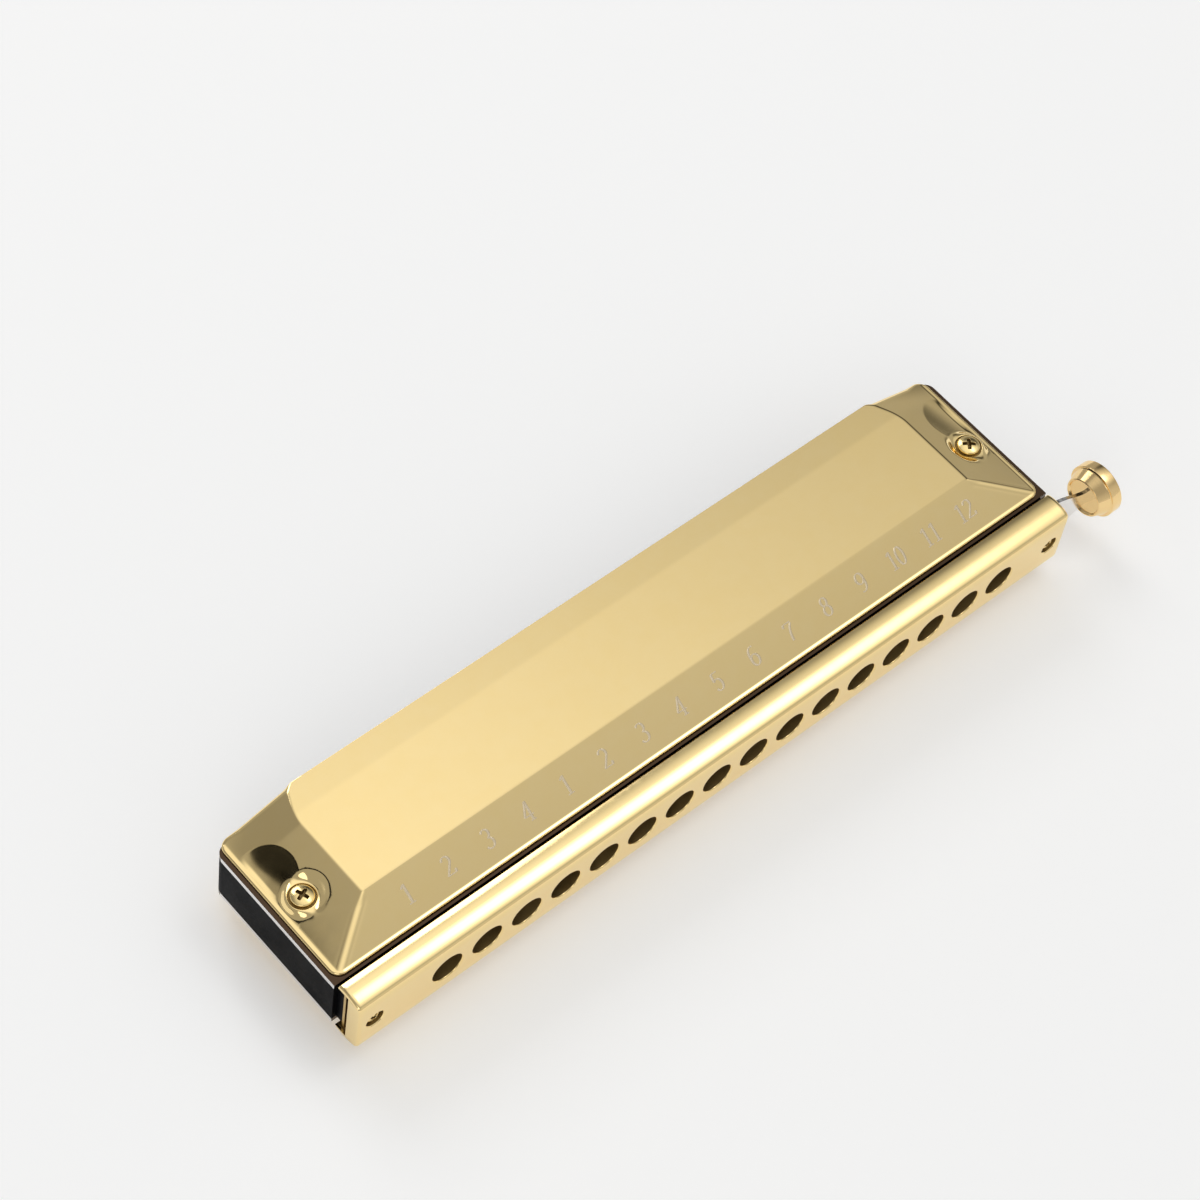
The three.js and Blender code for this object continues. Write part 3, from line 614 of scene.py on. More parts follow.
def distance_in(x, y):
    """Distance in from the cover's rounded outline, exact near it."""
    past_x, past_y = past_straight(x, y)
    corner = rim_corner - np.hypot(np.maximum(past_x, 0), np.maximum(past_y, 0))
    return np.where((past_x > 0) & (past_y > 0), corner, rim_corner - np.maximum(past_x, past_y))


def cover_skin(x_lines, y_lines):
    """The cover's outer skin on a grid with round corners. Its edge drops by r (1 - sqrt(1 - t t)), where t
    is how far into the rounding of radius r a point lies. The radius grows from the rim's to the back
    edge's, and is nothing along the open back."""
    x, y = round_corners(*np.meshgrid(x_lines, y_lines, indexing="ij"))
    height = cover_height(x, y)
    to_back = smooth(cover_y[1] - back_blend[0], cover_y[1] - back_blend[1], y)
    beside_opening = smooth(band_x + open_blend[0], band_x + open_blend[1], np.abs(x))
    radius = np.minimum(rim_round + (back_round - rim_round) * to_back, steepest_round * height)
    radius = radius * (1 - to_back * (1 - beside_opening))
    rounding = np.clip(1 - distance_in(x, y) / np.maximum(radius, 1e-3), 0, 1)
    height = height - radius * (1 - np.sqrt(1 - rounding ** 2))
    return np.stack([x, y, height + cover_z[0]], axis=-1)


# %% Rings round a bolt
def bolt_rings(x_lines, y_lines, side):
    """A square of the skin whose rings run from its border on the grid's own lines to a circle, over the
    pad, down the wall of the round well and in over its seat to the bolt's hole. The well has a row of
    (radius, drop below the pad) for each ring."""
    border = np.concatenate([np.column_stack(np.broadcast_arrays(x, y)) for x, y in (
        (x_lines[:-1], y_lines[0]), (x_lines[-1], y_lines[:-1]),
        (x_lines[:0:-1], y_lines[-1]), (x_lines[0], y_lines[:0:-1]))])
    centre = np.array([side * bolt_x, bolt_y])
    off = border - centre
    circle = off / np.hypot(*off.T)[:, None]
    widest = centre + circle * pad_rings[0]
    rings = [border * (1 - share) + widest * share for share in np.linspace(0, 1, 6)]
    rings += [centre + circle * radius for radius in pad_rings[1:]]
    seat = pad_level - seat_level
    well = [(2.82, 0.01), (2.77, 0.04), (2.73, 0.09), (well_radius, 0.15), (well_radius, seat), (2.55, seat),
            (bolt_hole, seat)]
    points = [np.column_stack([ring, cover_height(*ring.T)]) for ring in rings]
    points += [np.insert(centre + circle * radius, 2, pad_level - drop, axis=1) for radius, drop in well]
    return (np.stack(points) + (0, 0, cover_z[0]),
            grid_faces(len(points), len(border), round_columns=True)[:, ::-1])


# %% Covers
def cover_parts():
    """The skin with a bolt's rings in place of two squares of its grid, and its wall down to the reed plate
    all round but for the open back. Faces look outwards."""
    x_lines, y_lines = grid_lines()
    skin = cover_skin(x_lines, y_lines)
    faces = grid_faces(len(x_lines), len(y_lines))
    middle = skin.reshape(-1, 3)[faces].mean(axis=1)
    near = np.maximum(np.abs(np.abs(middle[:, 0]) - bolt_x), np.abs(middle[:, 1] - bolt_y)) < patch_half
    parts = [(skin, faces[~near])]
    for side in (-1, 1):
        x_near = x_lines[np.abs(x_lines - side * bolt_x) < patch_half + touch]
        y_near = y_lines[np.abs(y_lines - bolt_y) < patch_half + touch]
        parts.append(bolt_rings(x_near, y_near, side))
    rim = np.concatenate([skin[:, 0], skin[-1, 1:], skin[::-1, -1][1:], skin[0, ::-1][1:-1]])
    foot = rim.copy()
    foot[:, 2] = cover_z[0]
    wall = grid_faces(2, len(rim), round_columns=True)
    open_back = (rim[:, 1] > cover_y[1] - touch) & (np.abs(rim[:, 0]) < band_x + touch)
    wall = wall[~(open_back[wall[:, 0]] & open_back[wall[:, 1]])]
    points, faces = joined(parts + [(np.concatenate([rim, foot]), wall)])
    return points, faces[:, ::-1]


def in_shade(middles):
    """True where painted shade goes: on the foot of the wall round a cover and in the well round a bolt."""
    x, y = np.abs(middles[:, 0]), middles[:, 1]
    up = np.abs(middles[:, 2] - middle_z) - (cover_z[0] - middle_z)
    in_well = (np.hypot(x - bolt_x, y - bolt_y) < well_radius + 0.05) & (up < pad_level - 0.1)
    return in_well | ((up < painted_shade_foot) & (y < cover_y[1] - 1))


def make_cover(name, side):
    """A cover: its skin given the sheet's thickness inwards. Side -1 is the lower one, the mirror image."""
    points, faces = cover_parts()
    if side < 0:
        points = points * (1, 1, -1) + (0, 0, 2 * middle_z)
        faces = faces[:, ::-1]
    cover = make_piece(name, points, faces, pressed_gold, 50, outward=False)
    # painted shade: the wall's foot and the wells round the bolts get dark gold
    paint(cover, painted_shade_gold, in_shade)
    crease_along(cover, lambda x, y: (np.abs(y - plateau_y[0]) < touch) & (np.abs(x) < plateau_x + 0.5))
    thick = cover.modifiers.new("sheet", "SOLIDIFY")
    thick.thickness = sheet * mm
    thick.offset = -1
    thick.use_even_offset = False
    return cover


top_cover = make_cover("top_cover_sheet", 1)
bottom_cover = make_cover("bottom_cover_sheet", -1)
for cover, node in ((top_cover, "top_cover"), (bottom_cover, "bottom_cover")):
    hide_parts(node)
    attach(cover, "body")

# %% [markdown]
# The front face of the upper cover carries a number over each hole: four low notes first, and then
# one to twelve. They are cut with a burin, in figures with thick downstrokes and thin cross strokes. Text
# objects would give flat letters of one font. Here each figure is a few strokes of a broad pen, and each
# stroke is a narrow ribbon that follows the sheet, with a groove down its middle and raised edges that
# catch the light as a cut line does.

# %% Strokes of the figures
def arc(x, y, half_width, half_height, first, last, steps=15):
    """Points on an ellipse about (x, y) between two angles in degrees, in units of a figure's height."""
    angle = np.radians(np.linspace(first, last, steps))
    return np.column_stack([x + half_width * np.cos(angle), y + half_height * np.sin(angle)])


def oval(x, y, half_width, half_height):
    """A whole ellipse, from its top and round to it again."""
    return arc(x, y, half_width, half_height, 90, 450, 33)


def line(*ends):
    """A straight stroke, or a bent one, through the given points."""
    return np.array(ends, float)


thin, thick = 0.055, 0.135      # of the pen, in heights of a figure

# The curves of the figures 2, 6 and 9; a 9 is a 6 turned upside down.
hook = np.concatenate([arc(0.06, 0.56, 0.28, 0.43, 68, 180), line((-0.22, 0.3))])
bowl = oval(0, 0.3, 0.22, 0.29)
swan = np.concatenate([arc(0, 0.73, 0.21, 0.25, 165, -25), line((-0.24, 0.04))])
figures = {
    "0": [oval(0, 0.5, 0.21, 0.48)],
    "1": [line((0.02, 0), (0.02, 1)), line((-0.17, 0.83), (0.0, 0.97)), line((-0.17, 0.02), (0.2, 0.02))],
    "2": [swan, line((-0.24, 0.06), (0.24, 0.06)), line((0.24, 0.04), (0.28, 0.22))],
    "3": [arc(-0.02, 0.75, 0.2, 0.23, 155, -90), arc(-0.02, 0.27, 0.24, 0.26, 90, -155)],
    "4": [line((0.1, 0), (0.1, 1)), line((0.1, 0.98), (-0.28, 0.28)), line((-0.28, 0.28), (0.27, 0.28)),
          line((-0.05, 0.02), (0.25, 0.02))],
    "5": [line((-0.16, 0.94), (0.2, 0.94)), line((-0.15, 0.94), (-0.18, 0.52)),
          arc(-0.01, 0.31, 0.23, 0.3, 138, -150)],
    "6": [hook, bowl],
    "7": [line((-0.23, 0.93), (0.25, 0.93)), line((-0.22, 0.93), (-0.25, 0.76)),
          arc(0.44, 0, 0.5, 0.93, 112, 180)],
    "8": [oval(0, 0.75, 0.17, 0.22), oval(0, 0.27, 0.22, 0.26)],
    "9": [(0, 1) - hook, (0, 1) - bowl],
}
print("figures:", len(figures), "with", sum(len(strokes) for strokes in figures.values()), "strokes")


# %% Engraved ribbons
figure_height = 3.9      # along the slope of the front face
figure_y = -14.4         # of the middle of a figure
figure_gap = 0.58        # between the figures of one number, in heights
edge_rise = 0.022        # of a ribbon's edges over the sheet
edge_width = 0.05        # from an edge down into the sheet
edge_foot = -0.03        # where that ends
groove_rise = 0.006      # of the groove's bottom over the sheet
ribbon_floor = -0.06     # of the ribbon's underside


def stroke_ribbon(path, centre_x):
    """A closed ribbon along a stroke. Its width is that of a broad pen: thick where the stroke runs down,
    thin where it runs across. Across it the height goes from under the sheet to one edge, down to the
    groove, and up to the other edge."""
    closed = np.allclose(path[0], path[-1])
    ahead = np.concatenate([path[-2:-1], path, path[1:2]]) if closed else path
    along = np.gradient(ahead, axis=0)[1:-1] if closed else np.gradient(ahead, axis=0)
    along = along / np.hypot(*along.T)[:, None]
    half = (thin + (thick - thin) * np.abs(along[:, 1]) ** 1.5) / 2 * figure_height
    side = np.stack([-along[:, 1], along[:, 0]], -1)
    across = np.stack([-half - edge_width, -half, 0 * half, half, half + edge_width, 0 * half], -1)
    rise = np.array([edge_foot, edge_rise, groove_rise, edge_rise, edge_foot, ribbon_floor])
    flat = path[:, None] * figure_height + across[..., None] * side[:, None]
    slope = np.diff(pressed_height(np.zeros(2), figure_y + np.array([-1, 1])))[0] / 2
    x = centre_x + flat[..., 0]
    y = figure_y + (flat[..., 1] - figure_height / 2) / math.hypot(1, slope)
    points = np.stack([x, y, pressed_height(x, y) + cover_z[0] + rise], -1)
    faces = grid_faces(len(path), 6, round_columns=True)
    if closed:
        return points, faces
    last = 6 * (len(path) - 1)
    caps = np.array([(0, 1, 2, 5), (2, 3, 4, 5)])
    return points, np.concatenate([faces, caps, caps + last])


def engraved_numbers():
    """All the strokes: each number stands over its hole, its figures side by side."""
    parts = []
    for index, x in enumerate(hole_x):
        number = str(index + 1 if index < 4 else index - 3)
        for place, figure in enumerate(number):
            offset = (place - (len(number) - 1) / 2) * figure_gap * figure_height
            parts += [stroke_ribbon(path, x + offset) for path in figures[figure]]
    return joined(parts)


numbers = make_piece("engraved_numbers", *engraved_numbers(), etched_gold, 60)
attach(numbers, "body")

# %% [markdown]
# The mouthpiece is one bar: its top and bottom are rolled, its front is a flat strip with sixteen
# round holes, and its back is a channel for the slide's housing. Holes cut with booleans would leave
# ragged shading, so each hole is a ring of points that runs from a square cell of the front strip to
# a circle, over a rounded edge, through the wall and out to the channel behind.

# %% Mouthpiece sizes
face_half = 5.4         # half the height of the front strip
wall_y = front_y + 3.4          # back of the front wall, where the channel begins
groove_half = 7.0       # half the height of the channel
roll_slopes = (84, 24, -15)     # in degrees: of its flank, where its two arcs meet, and at the back
roll_radius = 7.9               # of its flatter arc
roll_back = 7.75        # height of its back edge over the middle
roll_bevel = 0.25
end_bevel = 0.45
end_draw = 0.8          # how far the outside draws in at the ends, in bevels
strip_back = 0.2        # how far the front strip draws back there
cell_steps = 16         # along each side of a cell
painted_shade_depth = 0.6        # where the painted shade begins inside a hole or an end
screw_x = 86.9
hole_radius = 3.5
hole_edge = 0.35        # rounding at the mouth of a hole
half_way = 1.6          # depth where a screw's sink ends
turn = np.linspace(0, np.pi / 2, 6)
blow_hole = [*zip(hole_radius + hole_edge * (1 - np.sin(turn)), hole_edge * (1 - np.cos(turn))),
             (hole_radius, half_way), (hole_radius, wall_y - front_y)]      # rows of radius and depth
screw_sink = [(2.2, 0), (2.0, 0.2), (2.0, half_way), (1.15, half_way), (1.15, wall_y - front_y)]
print("rings in a blow hole:", len(blow_hole), "and in a screw's sink:", len(screw_sink))


# %% Mouthpiece profile
def roll_profile(steps):
    """Rolled top in Y and height: a straight flank, a tight arc and a flat one, from the front strip's edge
    to a bevel at the back. An arc of radius r whose slope falls from a to b runs r (sin a - sin b) back and
    r (cos b - cos a) up, so where the roll starts and ends gives the flank's length and the tight radius."""
    start = np.array([front_y, face_half])
    end = np.array([back_y - roll_bevel, roll_back])
    a, b, c = np.radians(roll_slopes)
    flat = roll_radius * np.array([math.sin(b) - math.sin(c), math.cos(c) - math.cos(b)])
    runs = np.array([[math.cos(a), math.sin(a) - math.sin(b)], [math.sin(a), math.cos(b) - math.cos(a)]])
    flank, tight = np.linalg.solve(runs, end - start - flat)
    foot = start + flank * np.array([math.cos(a), math.sin(a)])
    slope = np.linspace(a, b, steps // 2, endpoint=False)
    front = foot + tight * np.stack([math.sin(a) - np.sin(slope), np.cos(slope) - math.cos(a)], -1)
    slope = np.linspace(b, c, steps // 2)
    top = end - flat + roll_radius * np.stack([math.sin(b) - np.sin(slope), np.cos(slope) - math.cos(b)], -1)
    return np.concatenate([[start], front, top, [[back_y, end[1] - roll_bevel]]])


profile = roll_profile(40)
print("roll peaks at", round(profile[:, 1].max(), 2), "above the middle")


# %% Mouthpiece cells
def cell_border(left, right, half_height):
    """Points round a rectangle, from its lower left corner: along the bottom, up, back and down."""
    corners = [(left, -half_height), (right, -half_height), (right, half_height), (left, half_height),
               (left, -half_height)]
    return spaced(corners, [cell_steps] * 4)[:-1]


def pierced_cell(left, right, centre, passage):
    """A cell of the front wall with a round passage: rings from the front border to a circle for each of
    its rows of (radius, depth), and out to the border of the channel behind."""
    front, back = cell_border(left, right, face_half), cell_border(left, right, groove_half)
    angle = np.arctan2(front[:, 1], front[:, 0] - centre)
    circle = np.stack([np.cos(angle), np.sin(angle)], -1)
    mouth = circle * passage[0][0] + (centre, 0)
    rings = [np.insert(front * (1 - share) + mouth * share, 1, front_y, axis=1) for share in (0, 0.4, 0.75)]
    rings += [np.insert(circle * radius + (centre, 0), 1, front_y + depth, axis=1)
              for radius, depth in passage]
    rings.append(np.insert(back, 1, wall_y, axis=1))
    return np.stack(rings), grid_faces(len(rings), len(front), round_columns=True)


def plain_cell(left, right):
    """A stretch of the front wall with no hole: its front strip and the bottom of its channel."""
    parts = []
    count = cell_steps + 1
    for y, half in ((front_y, face_half), (wall_y, groove_half)):
        x, z = np.meshgrid(np.linspace(left, right, count), np.linspace(-half, half, count), indexing="ij")
        parts.append((np.stack([x, np.full_like(x, y), z], -1), grid_faces(count, count)))
    return joined(parts)


def mouth_cells():
    """All the cells, and the places along X where they start and end."""
    half = hole_pitch / 2
    outer = mouth_x - end_bevel
    inner = 2 * screw_x - outer
    cells = [pierced_cell(-outer, -inner, -screw_x, screw_sink), plain_cell(-inner, hole_x[0] - half)]
    cells += [pierced_cell(x - half, x + half, x, blow_hole) for x in hole_x]
    cells += [plain_cell(hole_x[-1] + half, inner), pierced_cell(inner, outer, screw_x, screw_sink)]
    return cells, [-outer, -inner, *(hole_x - half), hole_x[-1] + half, inner, outer]


def mouth_sweep(starts, side):
    """The roll, the back edge and the channel's wall, carried along X from one end's bevel to the other's."""
    x = spaced(starts, [cell_steps] * (len(starts) - 1))
    inner = np.stack([np.linspace(back_y, wall_y, 12), np.full(12, groove_half)], -1)
    section = np.concatenate([profile, inner]) * (1, side)
    return np.stack([np.insert(section, 0, place, axis=1) for place in x]), grid_faces(len(x), len(section))


def mouth_end(side):
    """One end: the bevel from the roll and strip to the end plane, and the end plane itself down to the
    channel. Its rows go round the outside, then the drawn-in outside, then the channel."""
    across = np.linspace(-1, 1, cell_steps + 1)
    strip = np.stack([np.full_like(across, front_y), face_half * across], -1)
    outside = np.concatenate([profile[::-1] * (1, -1), strip[1:-1], profile])
    bottom = np.stack([np.full_like(across, wall_y), groove_half * across], -1)
    ledge = np.stack([np.linspace(wall_y, back_y, len(profile)), np.full(len(profile), groove_half)], -1)
    channel = np.concatenate([ledge[::-1] * (1, -1), bottom[1:-1], ledge])
    along = np.gradient(outside, axis=0)
    normal = np.stack([-along[:, 1], along[:, 0]], -1) / np.maximum(np.hypot(*along.T), 1e-9)[:, None]
    drawn = outside - normal * end_bevel * end_draw
    drawn[:, 0] = np.clip(drawn[:, 0], front_y + strip_back, back_y)
    rows = []
    for step in (0, 0.3, 0.7, 1):
        out = mouth_x - end_bevel + end_bevel * math.sin(step * math.pi / 2)
        rows.append(np.insert(outside * (1 - step) + drawn * step, 0, side * out, axis=1))
    rows += [np.insert(channel, 0, side * x, axis=1) for x in (mouth_x, mouth_x - end_bevel)]
    return np.stack(rows), grid_faces(len(rows), len(outside))


cells, cell_starts = mouth_cells()
mouth_parts = cells + [mouth_sweep(cell_starts, 1), mouth_sweep(cell_starts, -1), mouth_end(-1), mouth_end(1)]
mouth_points, mouth_faces = joined(mouth_parts)
mouthpiece = make_piece("mouthpiece_bar", mouth_points + (0, 0, middle_z), mouth_faces, solid_gold, 28)


def inside_bar(middles):
    """True where painted shade goes: in the holes, in the channel and on the narrow back edges."""
    x, y, up = np.abs(middles[:, 0]), middles[:, 1], np.abs(middles[:, 2] - middle_z)
    in_holes = (y > front_y + painted_shade_depth) & (up < hole_radius + 0.1)
    in_channel = (y > wall_y - 0.1) & (up < groove_half + 0.05)
    return ((in_holes | in_channel) & (x < mouth_x - painted_shade_depth)) | (y > back_y - 0.02)


# painted shade: the holes, the channel and the back edges get dark gold
paint(mouthpiece, painted_shade_gold, inside_bar)
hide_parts("mouthpiece")
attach(mouthpiece, "body")

# %% [markdown]
# The button is a small turned knob on the end of the slide. A lathe surface suits it: a profile of
# along and radius, carried round the axis, with every edge broken by a small rounding.

# %% Slide button
def rounded_profile(corners, radii, steps=5):
    """A profile through corners, each one replaced by an arc-like curve that starts and ends its own
    radius away: (1-t)^2 start + 2 t (1-t) corner + t^2 end."""
    corners = np.array(corners, float)
    points = [corners[:1]]
    for before, corner, after, radius in zip(corners[:-2], corners[1:-1], corners[2:], radii):
        start = corner + (before - corner) / np.hypot(*(before - corner)) * radius
        end = corner + (after - corner) / np.hypot(*(after - corner)) * radius
        t = np.linspace(0, 1, steps)[:, None]
        points.append((1 - t) ** 2 * start + 2 * t * (1 - t) * corner + t ** 2 * end)
    points.append(corners[-1:])
    return np.concatenate(points)


button_low, button_middle, button_high = measured("slide_button")
near, far = button_low[0], button_high[0]
lip, root, flange = 4.4, 5.4, 5.9       # radii, from the lip nearest the instrument outwards
hollow = near + 0.5                     # bottom of the hollow that faces the instrument
hollow_radii = lip - 0.6, lip - 0.35    # at its bottom and at its mouth
flange_start = near + 2.65              # where the cone from the lip reaches the flange
dish = far - 0.15                       # bottom of the shallow dish that is pressed
dish_radii = flange - 1.2, flange - 0.9
knob_corners = [(hollow, 0), (hollow, hollow_radii[0]), (near, hollow_radii[1]), (near, lip),
                (flange_start, root), (flange_start, flange), (far, flange), (far, dish_radii[1]),
                (dish, dish_radii[0]), (dish, 0)]
knob_rounds = [0.1, 0.1, 0.15, 0.2, 0.12, 0.2, 0.3, 0.2, 0.1]
knob_points, knob_faces = lathe(rounded_profile(knob_corners, knob_rounds), 96)
button = make_piece("slide_button_knob", knob_points + (0, button_middle[1], middle_z), knob_faces,
                    turned_gold, 40)
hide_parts("slide_button")
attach(button, "slide")


# %% [markdown]
# Small cross-head screws hold the covers and the mouthpiece. The head is a low dome whose height
# depends on the distance from the axis, less a cross-shaped recess with soft walls.

# %% Screw heads
head_rings, head_steps = 44, 112
dome_edge = 0.94        # where the dome ends, as a share of the head's radius
dome_fall = 0.34        # of the dome at the head's edge, as a share of its height
arm_half, arm_flare = 0.125, 0.03       # half width of the cross's arms at the edge, and more at the middle
arm_wall = (0.75, 1.15)                 # where an arm's side wall starts and ends, in half widths
arm_end = (0.50, 0.60)                  # where an arm's end wall starts and ends, in radii
arm_depth, arm_rise = 0.85, 0.45        # depth at the middle, in heights, and the share lost at the ends
arm_reach = 0.58                        # in radii, to where that share is lost


def dome(height, share):
    """Height of a head's dome at a share of its radius."""
    return height * (1 - dome_fall * share ** 2.4)


def screw_surface(radius, height, shank_radius, shank_length):
    """A screw about Z, seat at zero: the dome falls off towards the edge, the recess is as deep as its
    arms allow, and the rings then run down the head's side, under it and down the shank."""
    angle = full_turn(head_steps)
    r = radius * dome_edge * np.linspace(0, 1, head_rings) ** 0.9
    x, y = np.abs(r[:, None] * np.cos(angle)), np.abs(r[:, None] * np.sin(angle))
    arm, far = np.minimum(x, y), np.maximum(x, y)
    half = radius * (arm_half + arm_flare * (1 - far / radius))
    recess = (1 - smooth(*arm_wall, arm / half)) * (1 - smooth(*arm_end, far / radius))
    depth = height * arm_depth * (1 - arm_rise * np.clip(far / (arm_reach * radius), 0, 1) ** 2)
    top = dome(height, r[:, None] / radius) - depth * recess
    edge = dome(height, dome_edge)
    side = [(radius * 0.985, edge - 0.06 * radius), (radius, edge - 0.15 * radius), (radius, 0),
            (shank_radius, 0), (shank_radius, -shank_length), (0, -shank_length)]
    return rings_about_z([*zip(r, top), *side], head_steps)


def add_screw(name, node, size, place, turn, twist):
    """A screw of the given sizes at a solid's own place, its axis turned and its cross twisted."""
    points, faces = screw_surface(*size)
    matrix = np.array(turn @ Matrix.Rotation(math.radians(twist), 3, "Z"))
    screw = make_piece(name, points @ matrix.T + place, faces, screw_gold, 40)
    radius, height = size[:2]

    def in_the_cross(middles):
        """True where painted shade goes: where a face lies well under the dome, inside the head."""
        x, y, z = ((middles - place) @ matrix).T
        out = np.hypot(x, y)
        return (out < 0.7 * radius) & (z > 0) & (z < dome(height, out / radius) - 0.12 * height)

    # painted shade: the cross recess gets dark gold
    paint(screw, painted_shade_gold, in_the_cross)
    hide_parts(node)
    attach(screw, "body")


upright = Matrix.Identity(3)
facing_front = Matrix.Rotation(math.pi / 2, 3, "X")
seat_z = cover_z[0] + seat_level
bolt_head, bolt_shank = 2.3, 1.2                        # radii
small_head, small_height, small_shank = 1.8, 1.2, 1.0   # of a mouthpiece screw
for label, twist in (("left", 20), ("right", 52)):
    low, middle, high = measured(f"{label}_cover_bolt")
    size = bolt_head, high[2] - seat_z, bolt_shank, seat_z - low[2]
    place = middle[0], middle[1], seat_z
    add_screw(f"{label}_cover_screw", f"{label}_cover_bolt", size, place, upright, twist)
    low, middle, high = measured(f"{label}_mouthpiece_screw")
    size = small_head, small_height, small_shank, high[1] - low[1] - small_height
    place = middle[0], low[1] + small_height, middle_z
    add_screw(f"{label}_mouth_screw", f"{label}_mouthpiece_screw", size, place, facing_front, twist + 25)


# %% [markdown]
# A nut under the lower cover takes each cover bolt. It is a hexagon with its corners turned off.

# %% Cover nuts
def nut_surface(across, low, high, steps=96):
    """Hexagon nut about Z: the side is at half the width over the cosine of the angle from the nearest
    flat's middle, a cone cuts the corners at both faces, and the bore is round."""
    off_flat = (full_turn(steps) + np.pi / 6) % (np.pi / 3) - np.pi / 6
    side = across / 2 / np.cos(off_flat)
    face = across / 2 * 0.99
    cone = (side - face) / 2
    rows = [(bolt_hole, low), (face, low), (side, low + cone), (side, high - cone), (face, high),
            (bolt_hole, high), (bolt_hole, low)]
    return rings_about_z(rows, steps)


for label in ("left", "right"):
    low, middle, high = measured(f"{label}_cover_nut")
    points, faces = nut_surface(high[0] - low[0], low[2], high[2])
    nut = make_piece(f"{label}_hexagon_nut", points + (middle[0], middle[1], 0), faces, screw_gold, 25)
    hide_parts(f"{label}_cover_nut")
    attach(nut, "body")

# %% [markdown]
# Each reed is held by one rivet at its foot, and every second slot has a thin plastic strip over it
# that stops air from leaking through. They show only through the open back, so a rivet is a dome
# of a few dozen faces, and a strip is a thin bent slab that rests on the plate at its fixed end.

# %% Rivets and valve strips
plate_front = measured("top_reed_plate")[0][1]
plate_face = 6.8                    # from the middle to the outer face of a plate
slot_offset = 1.825                 # from a hole's middle to the middle of a reed
slot_start = plate_front + 5.4
chamber_lengths = np.linspace(30, 19, hole_count)       # shorter towards the high notes
slot_ends = plate_front + chamber_lengths - 2.8
reed_foot = 2.6                     # of the riveted end of a reed, before its slot
rivet_gap = 0.3                     # how much further the rear rivets lie from their slots
strip_past = 1.6, 0.6               # how far a valve strip goes past its slot's front and rear end
rivet_rows = [(0.02, 0.32), (0.36, 0.26), (0.6, 0.06), (0.6, -0.1), (0.02, -0.1)]   # radius, height
strip_half, strip_thickness = 1.5, 0.12
strip_gap, strip_lift = 0.02, 0.28  # under its fixed end, and how much more under its tip


def rivet_surface(x, y, side):
    """A low dome on the plate's outer face, with a closed foot inside it."""
    points, faces = rings_about_z([(r, side * (plate_face + h)) for r, h in rivet_rows], 8)
    return points + (x, y, 0), faces


def valve_surface(x, start, end, side):
    """A strip from its fixed end to a tip that lifts off by the square of its share of the length."""
    share = np.linspace(0, 1, 9)[:, None]
    y = start + (end - start) * share
    across = x + strip_half * np.array([-1, 1, 1, -1])
    height = plate_face + strip_gap + strip_lift * share ** 2 + strip_thickness * np.array([0, 0, 1, 1])
    points = np.stack([across + 0 * share, y + 0 * across, side * height], -1)
    caps = np.array([(0, 1, 2, 3)])
    return points, np.concatenate([grid_faces(9, 4, round_columns=True), caps, caps + 4 * 8])


for side, name in ((1, "top"), (-1, "bottom")):
    rivets, valves = [], []
    for x, end in zip(hole_x, slot_ends):
        rivets.append(rivet_surface(x + slot_offset, slot_start - reed_foot / 2, side))
        rivets.append(rivet_surface(x - slot_offset, end + reed_foot / 2 + rivet_gap, side))
        valves.append(valve_surface(x - slot_offset, slot_start - strip_past[0], end + strip_past[1], side))
    for kind, parts, material, slot in (("rivets", rivets, plain_brass, "plain_brass"),
                                        ("valves", valves, valve_film, "sleeve_plastic")):
        points, faces = joined(parts)
        piece = make_piece(f"{name}_plate_{kind}", points + (0, 0, middle_z), faces, material, 30)
        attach(piece, "body")
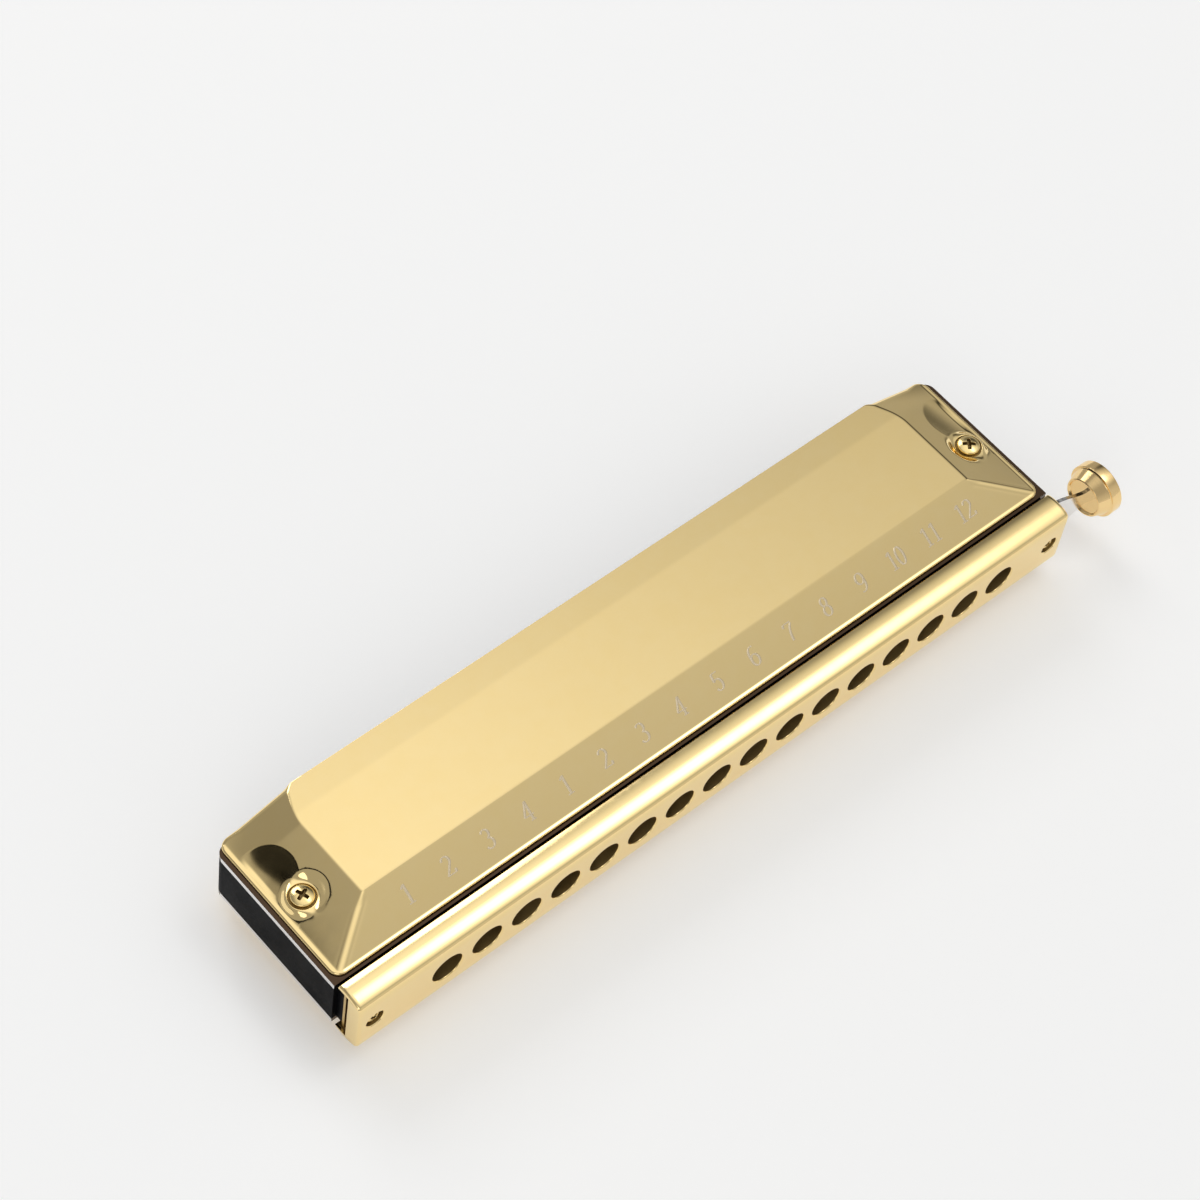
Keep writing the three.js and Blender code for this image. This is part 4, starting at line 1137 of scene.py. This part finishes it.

# %% [markdown]
# A small spring of bright wire pushes the slide back: two turns round a peg in the comb, a back leg that
# leans on the comb, and a front leg whose tip sits in a hole of the slide. A curve with a round bevel would
# do, but a ring carried along the path in numpy gives a mesh whose points are known. The tip has to follow
# the slide while the turns stay, but here the wire is one piece, with its place baked into its mesh.

# %% Slide spring
def swept_wire(path, radius, sides=12):
    """A round wire: rings path + r (level cos a + across sin a), square to the path, with level kept
    horizontal. At each end the rings go on by r t and shrink to r sqrt(1 - t t), which closes a half ball."""
    along = np.gradient(path, axis=0)
    along /= np.linalg.norm(along, axis=1, keepdims=True)
    beyond = np.array([1, 0.87, 0.5])
    caps = radius * beyond[:, None]
    centres = np.concatenate([path[0] - caps * along[0], path, (path[-1] + caps * along[-1])[::-1]])
    along = np.concatenate([along[[0, 0, 0]], along, along[[-1, -1, -1]]])
    shrunk = np.sqrt(1 - beyond ** 2)
    size = radius * np.concatenate([shrunk, np.ones(len(path)), shrunk[::-1]])[:, None, None]
    level = np.cross(along, (0, 0, 1))
    level /= np.linalg.norm(level, axis=1, keepdims=True)
    across = np.cross(level, along)
    angle = full_turn(sides)[None, :, None]
    points = centres[:, None] + size * (level[:, None] * np.cos(angle) + across[:, None] * np.sin(angle))
    return points, grid_faces(len(centres), sides, round_columns=True)


spring_low, spring_middle, spring_high = measured("slide_spring")
wire_radius = 0.35
spring_tail = 4.6       # length of the back leg
coil_turns = 2
coil_steps = 48         # to a turn
coil_radius = (spring_high[0] - spring_low[0]) / 2 - wire_radius
coil_y = spring_high[1] - spring_tail
coil_z = spring_high[2] - wire_radius, spring_low[2] + wire_radius
leg_x = spring_middle[0] + coil_radius
turn = np.linspace(0, coil_turns * 2 * np.pi, coil_turns * coil_steps + 1)
coil = np.column_stack([spring_middle[0] + coil_radius * np.cos(turn), coil_y + coil_radius * np.sin(turn),
                        np.linspace(*coil_z, len(turn))])
front_tip = leg_x, spring_low[1] + wire_radius, coil_z[0]
back_tip = leg_x, spring_high[1] - wire_radius, coil_z[1]
front_leg = np.linspace(front_tip, coil[0], 16, endpoint=False)
back_leg = np.linspace(coil[-1], back_tip, 8)[1:]
wire_path = np.concatenate([front_leg, coil, back_leg])
spring = make_piece("slide_spring_wire", *swept_wire(wire_path, wire_radius), spring_wire, 60)
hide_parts("slide_spring")
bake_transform(spring)

# %% [markdown]
# The other solids already have their real shapes, because they are cut from flat sheet or moulded.
# They stay, and only get their finishes.

# %% Finishes on the solids that stay
node_finishes = {
    "comb": comb_plastic,
    "top_reed_plate": silver,
    "bottom_reed_plate": silver,
    "slide_cage": plain_brass,
    "slide_backplate": plain_brass,
    "slide": slide_silver,
    "left_slide_sleeve": sleeve_plastic,
    "right_slide_sleeve": sleeve_plastic,
}
for number in range(1, 7):
    node_finishes[f"top_plate_screw_{number}"] = plain_brass
    node_finishes[f"bottom_plate_screw_{number}"] = plain_brass
for node, material in node_finishes.items():
    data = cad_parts[node].data
    data.materials.clear()
    data.materials.append(material)
print("finished", len(node_finishes), "solids")
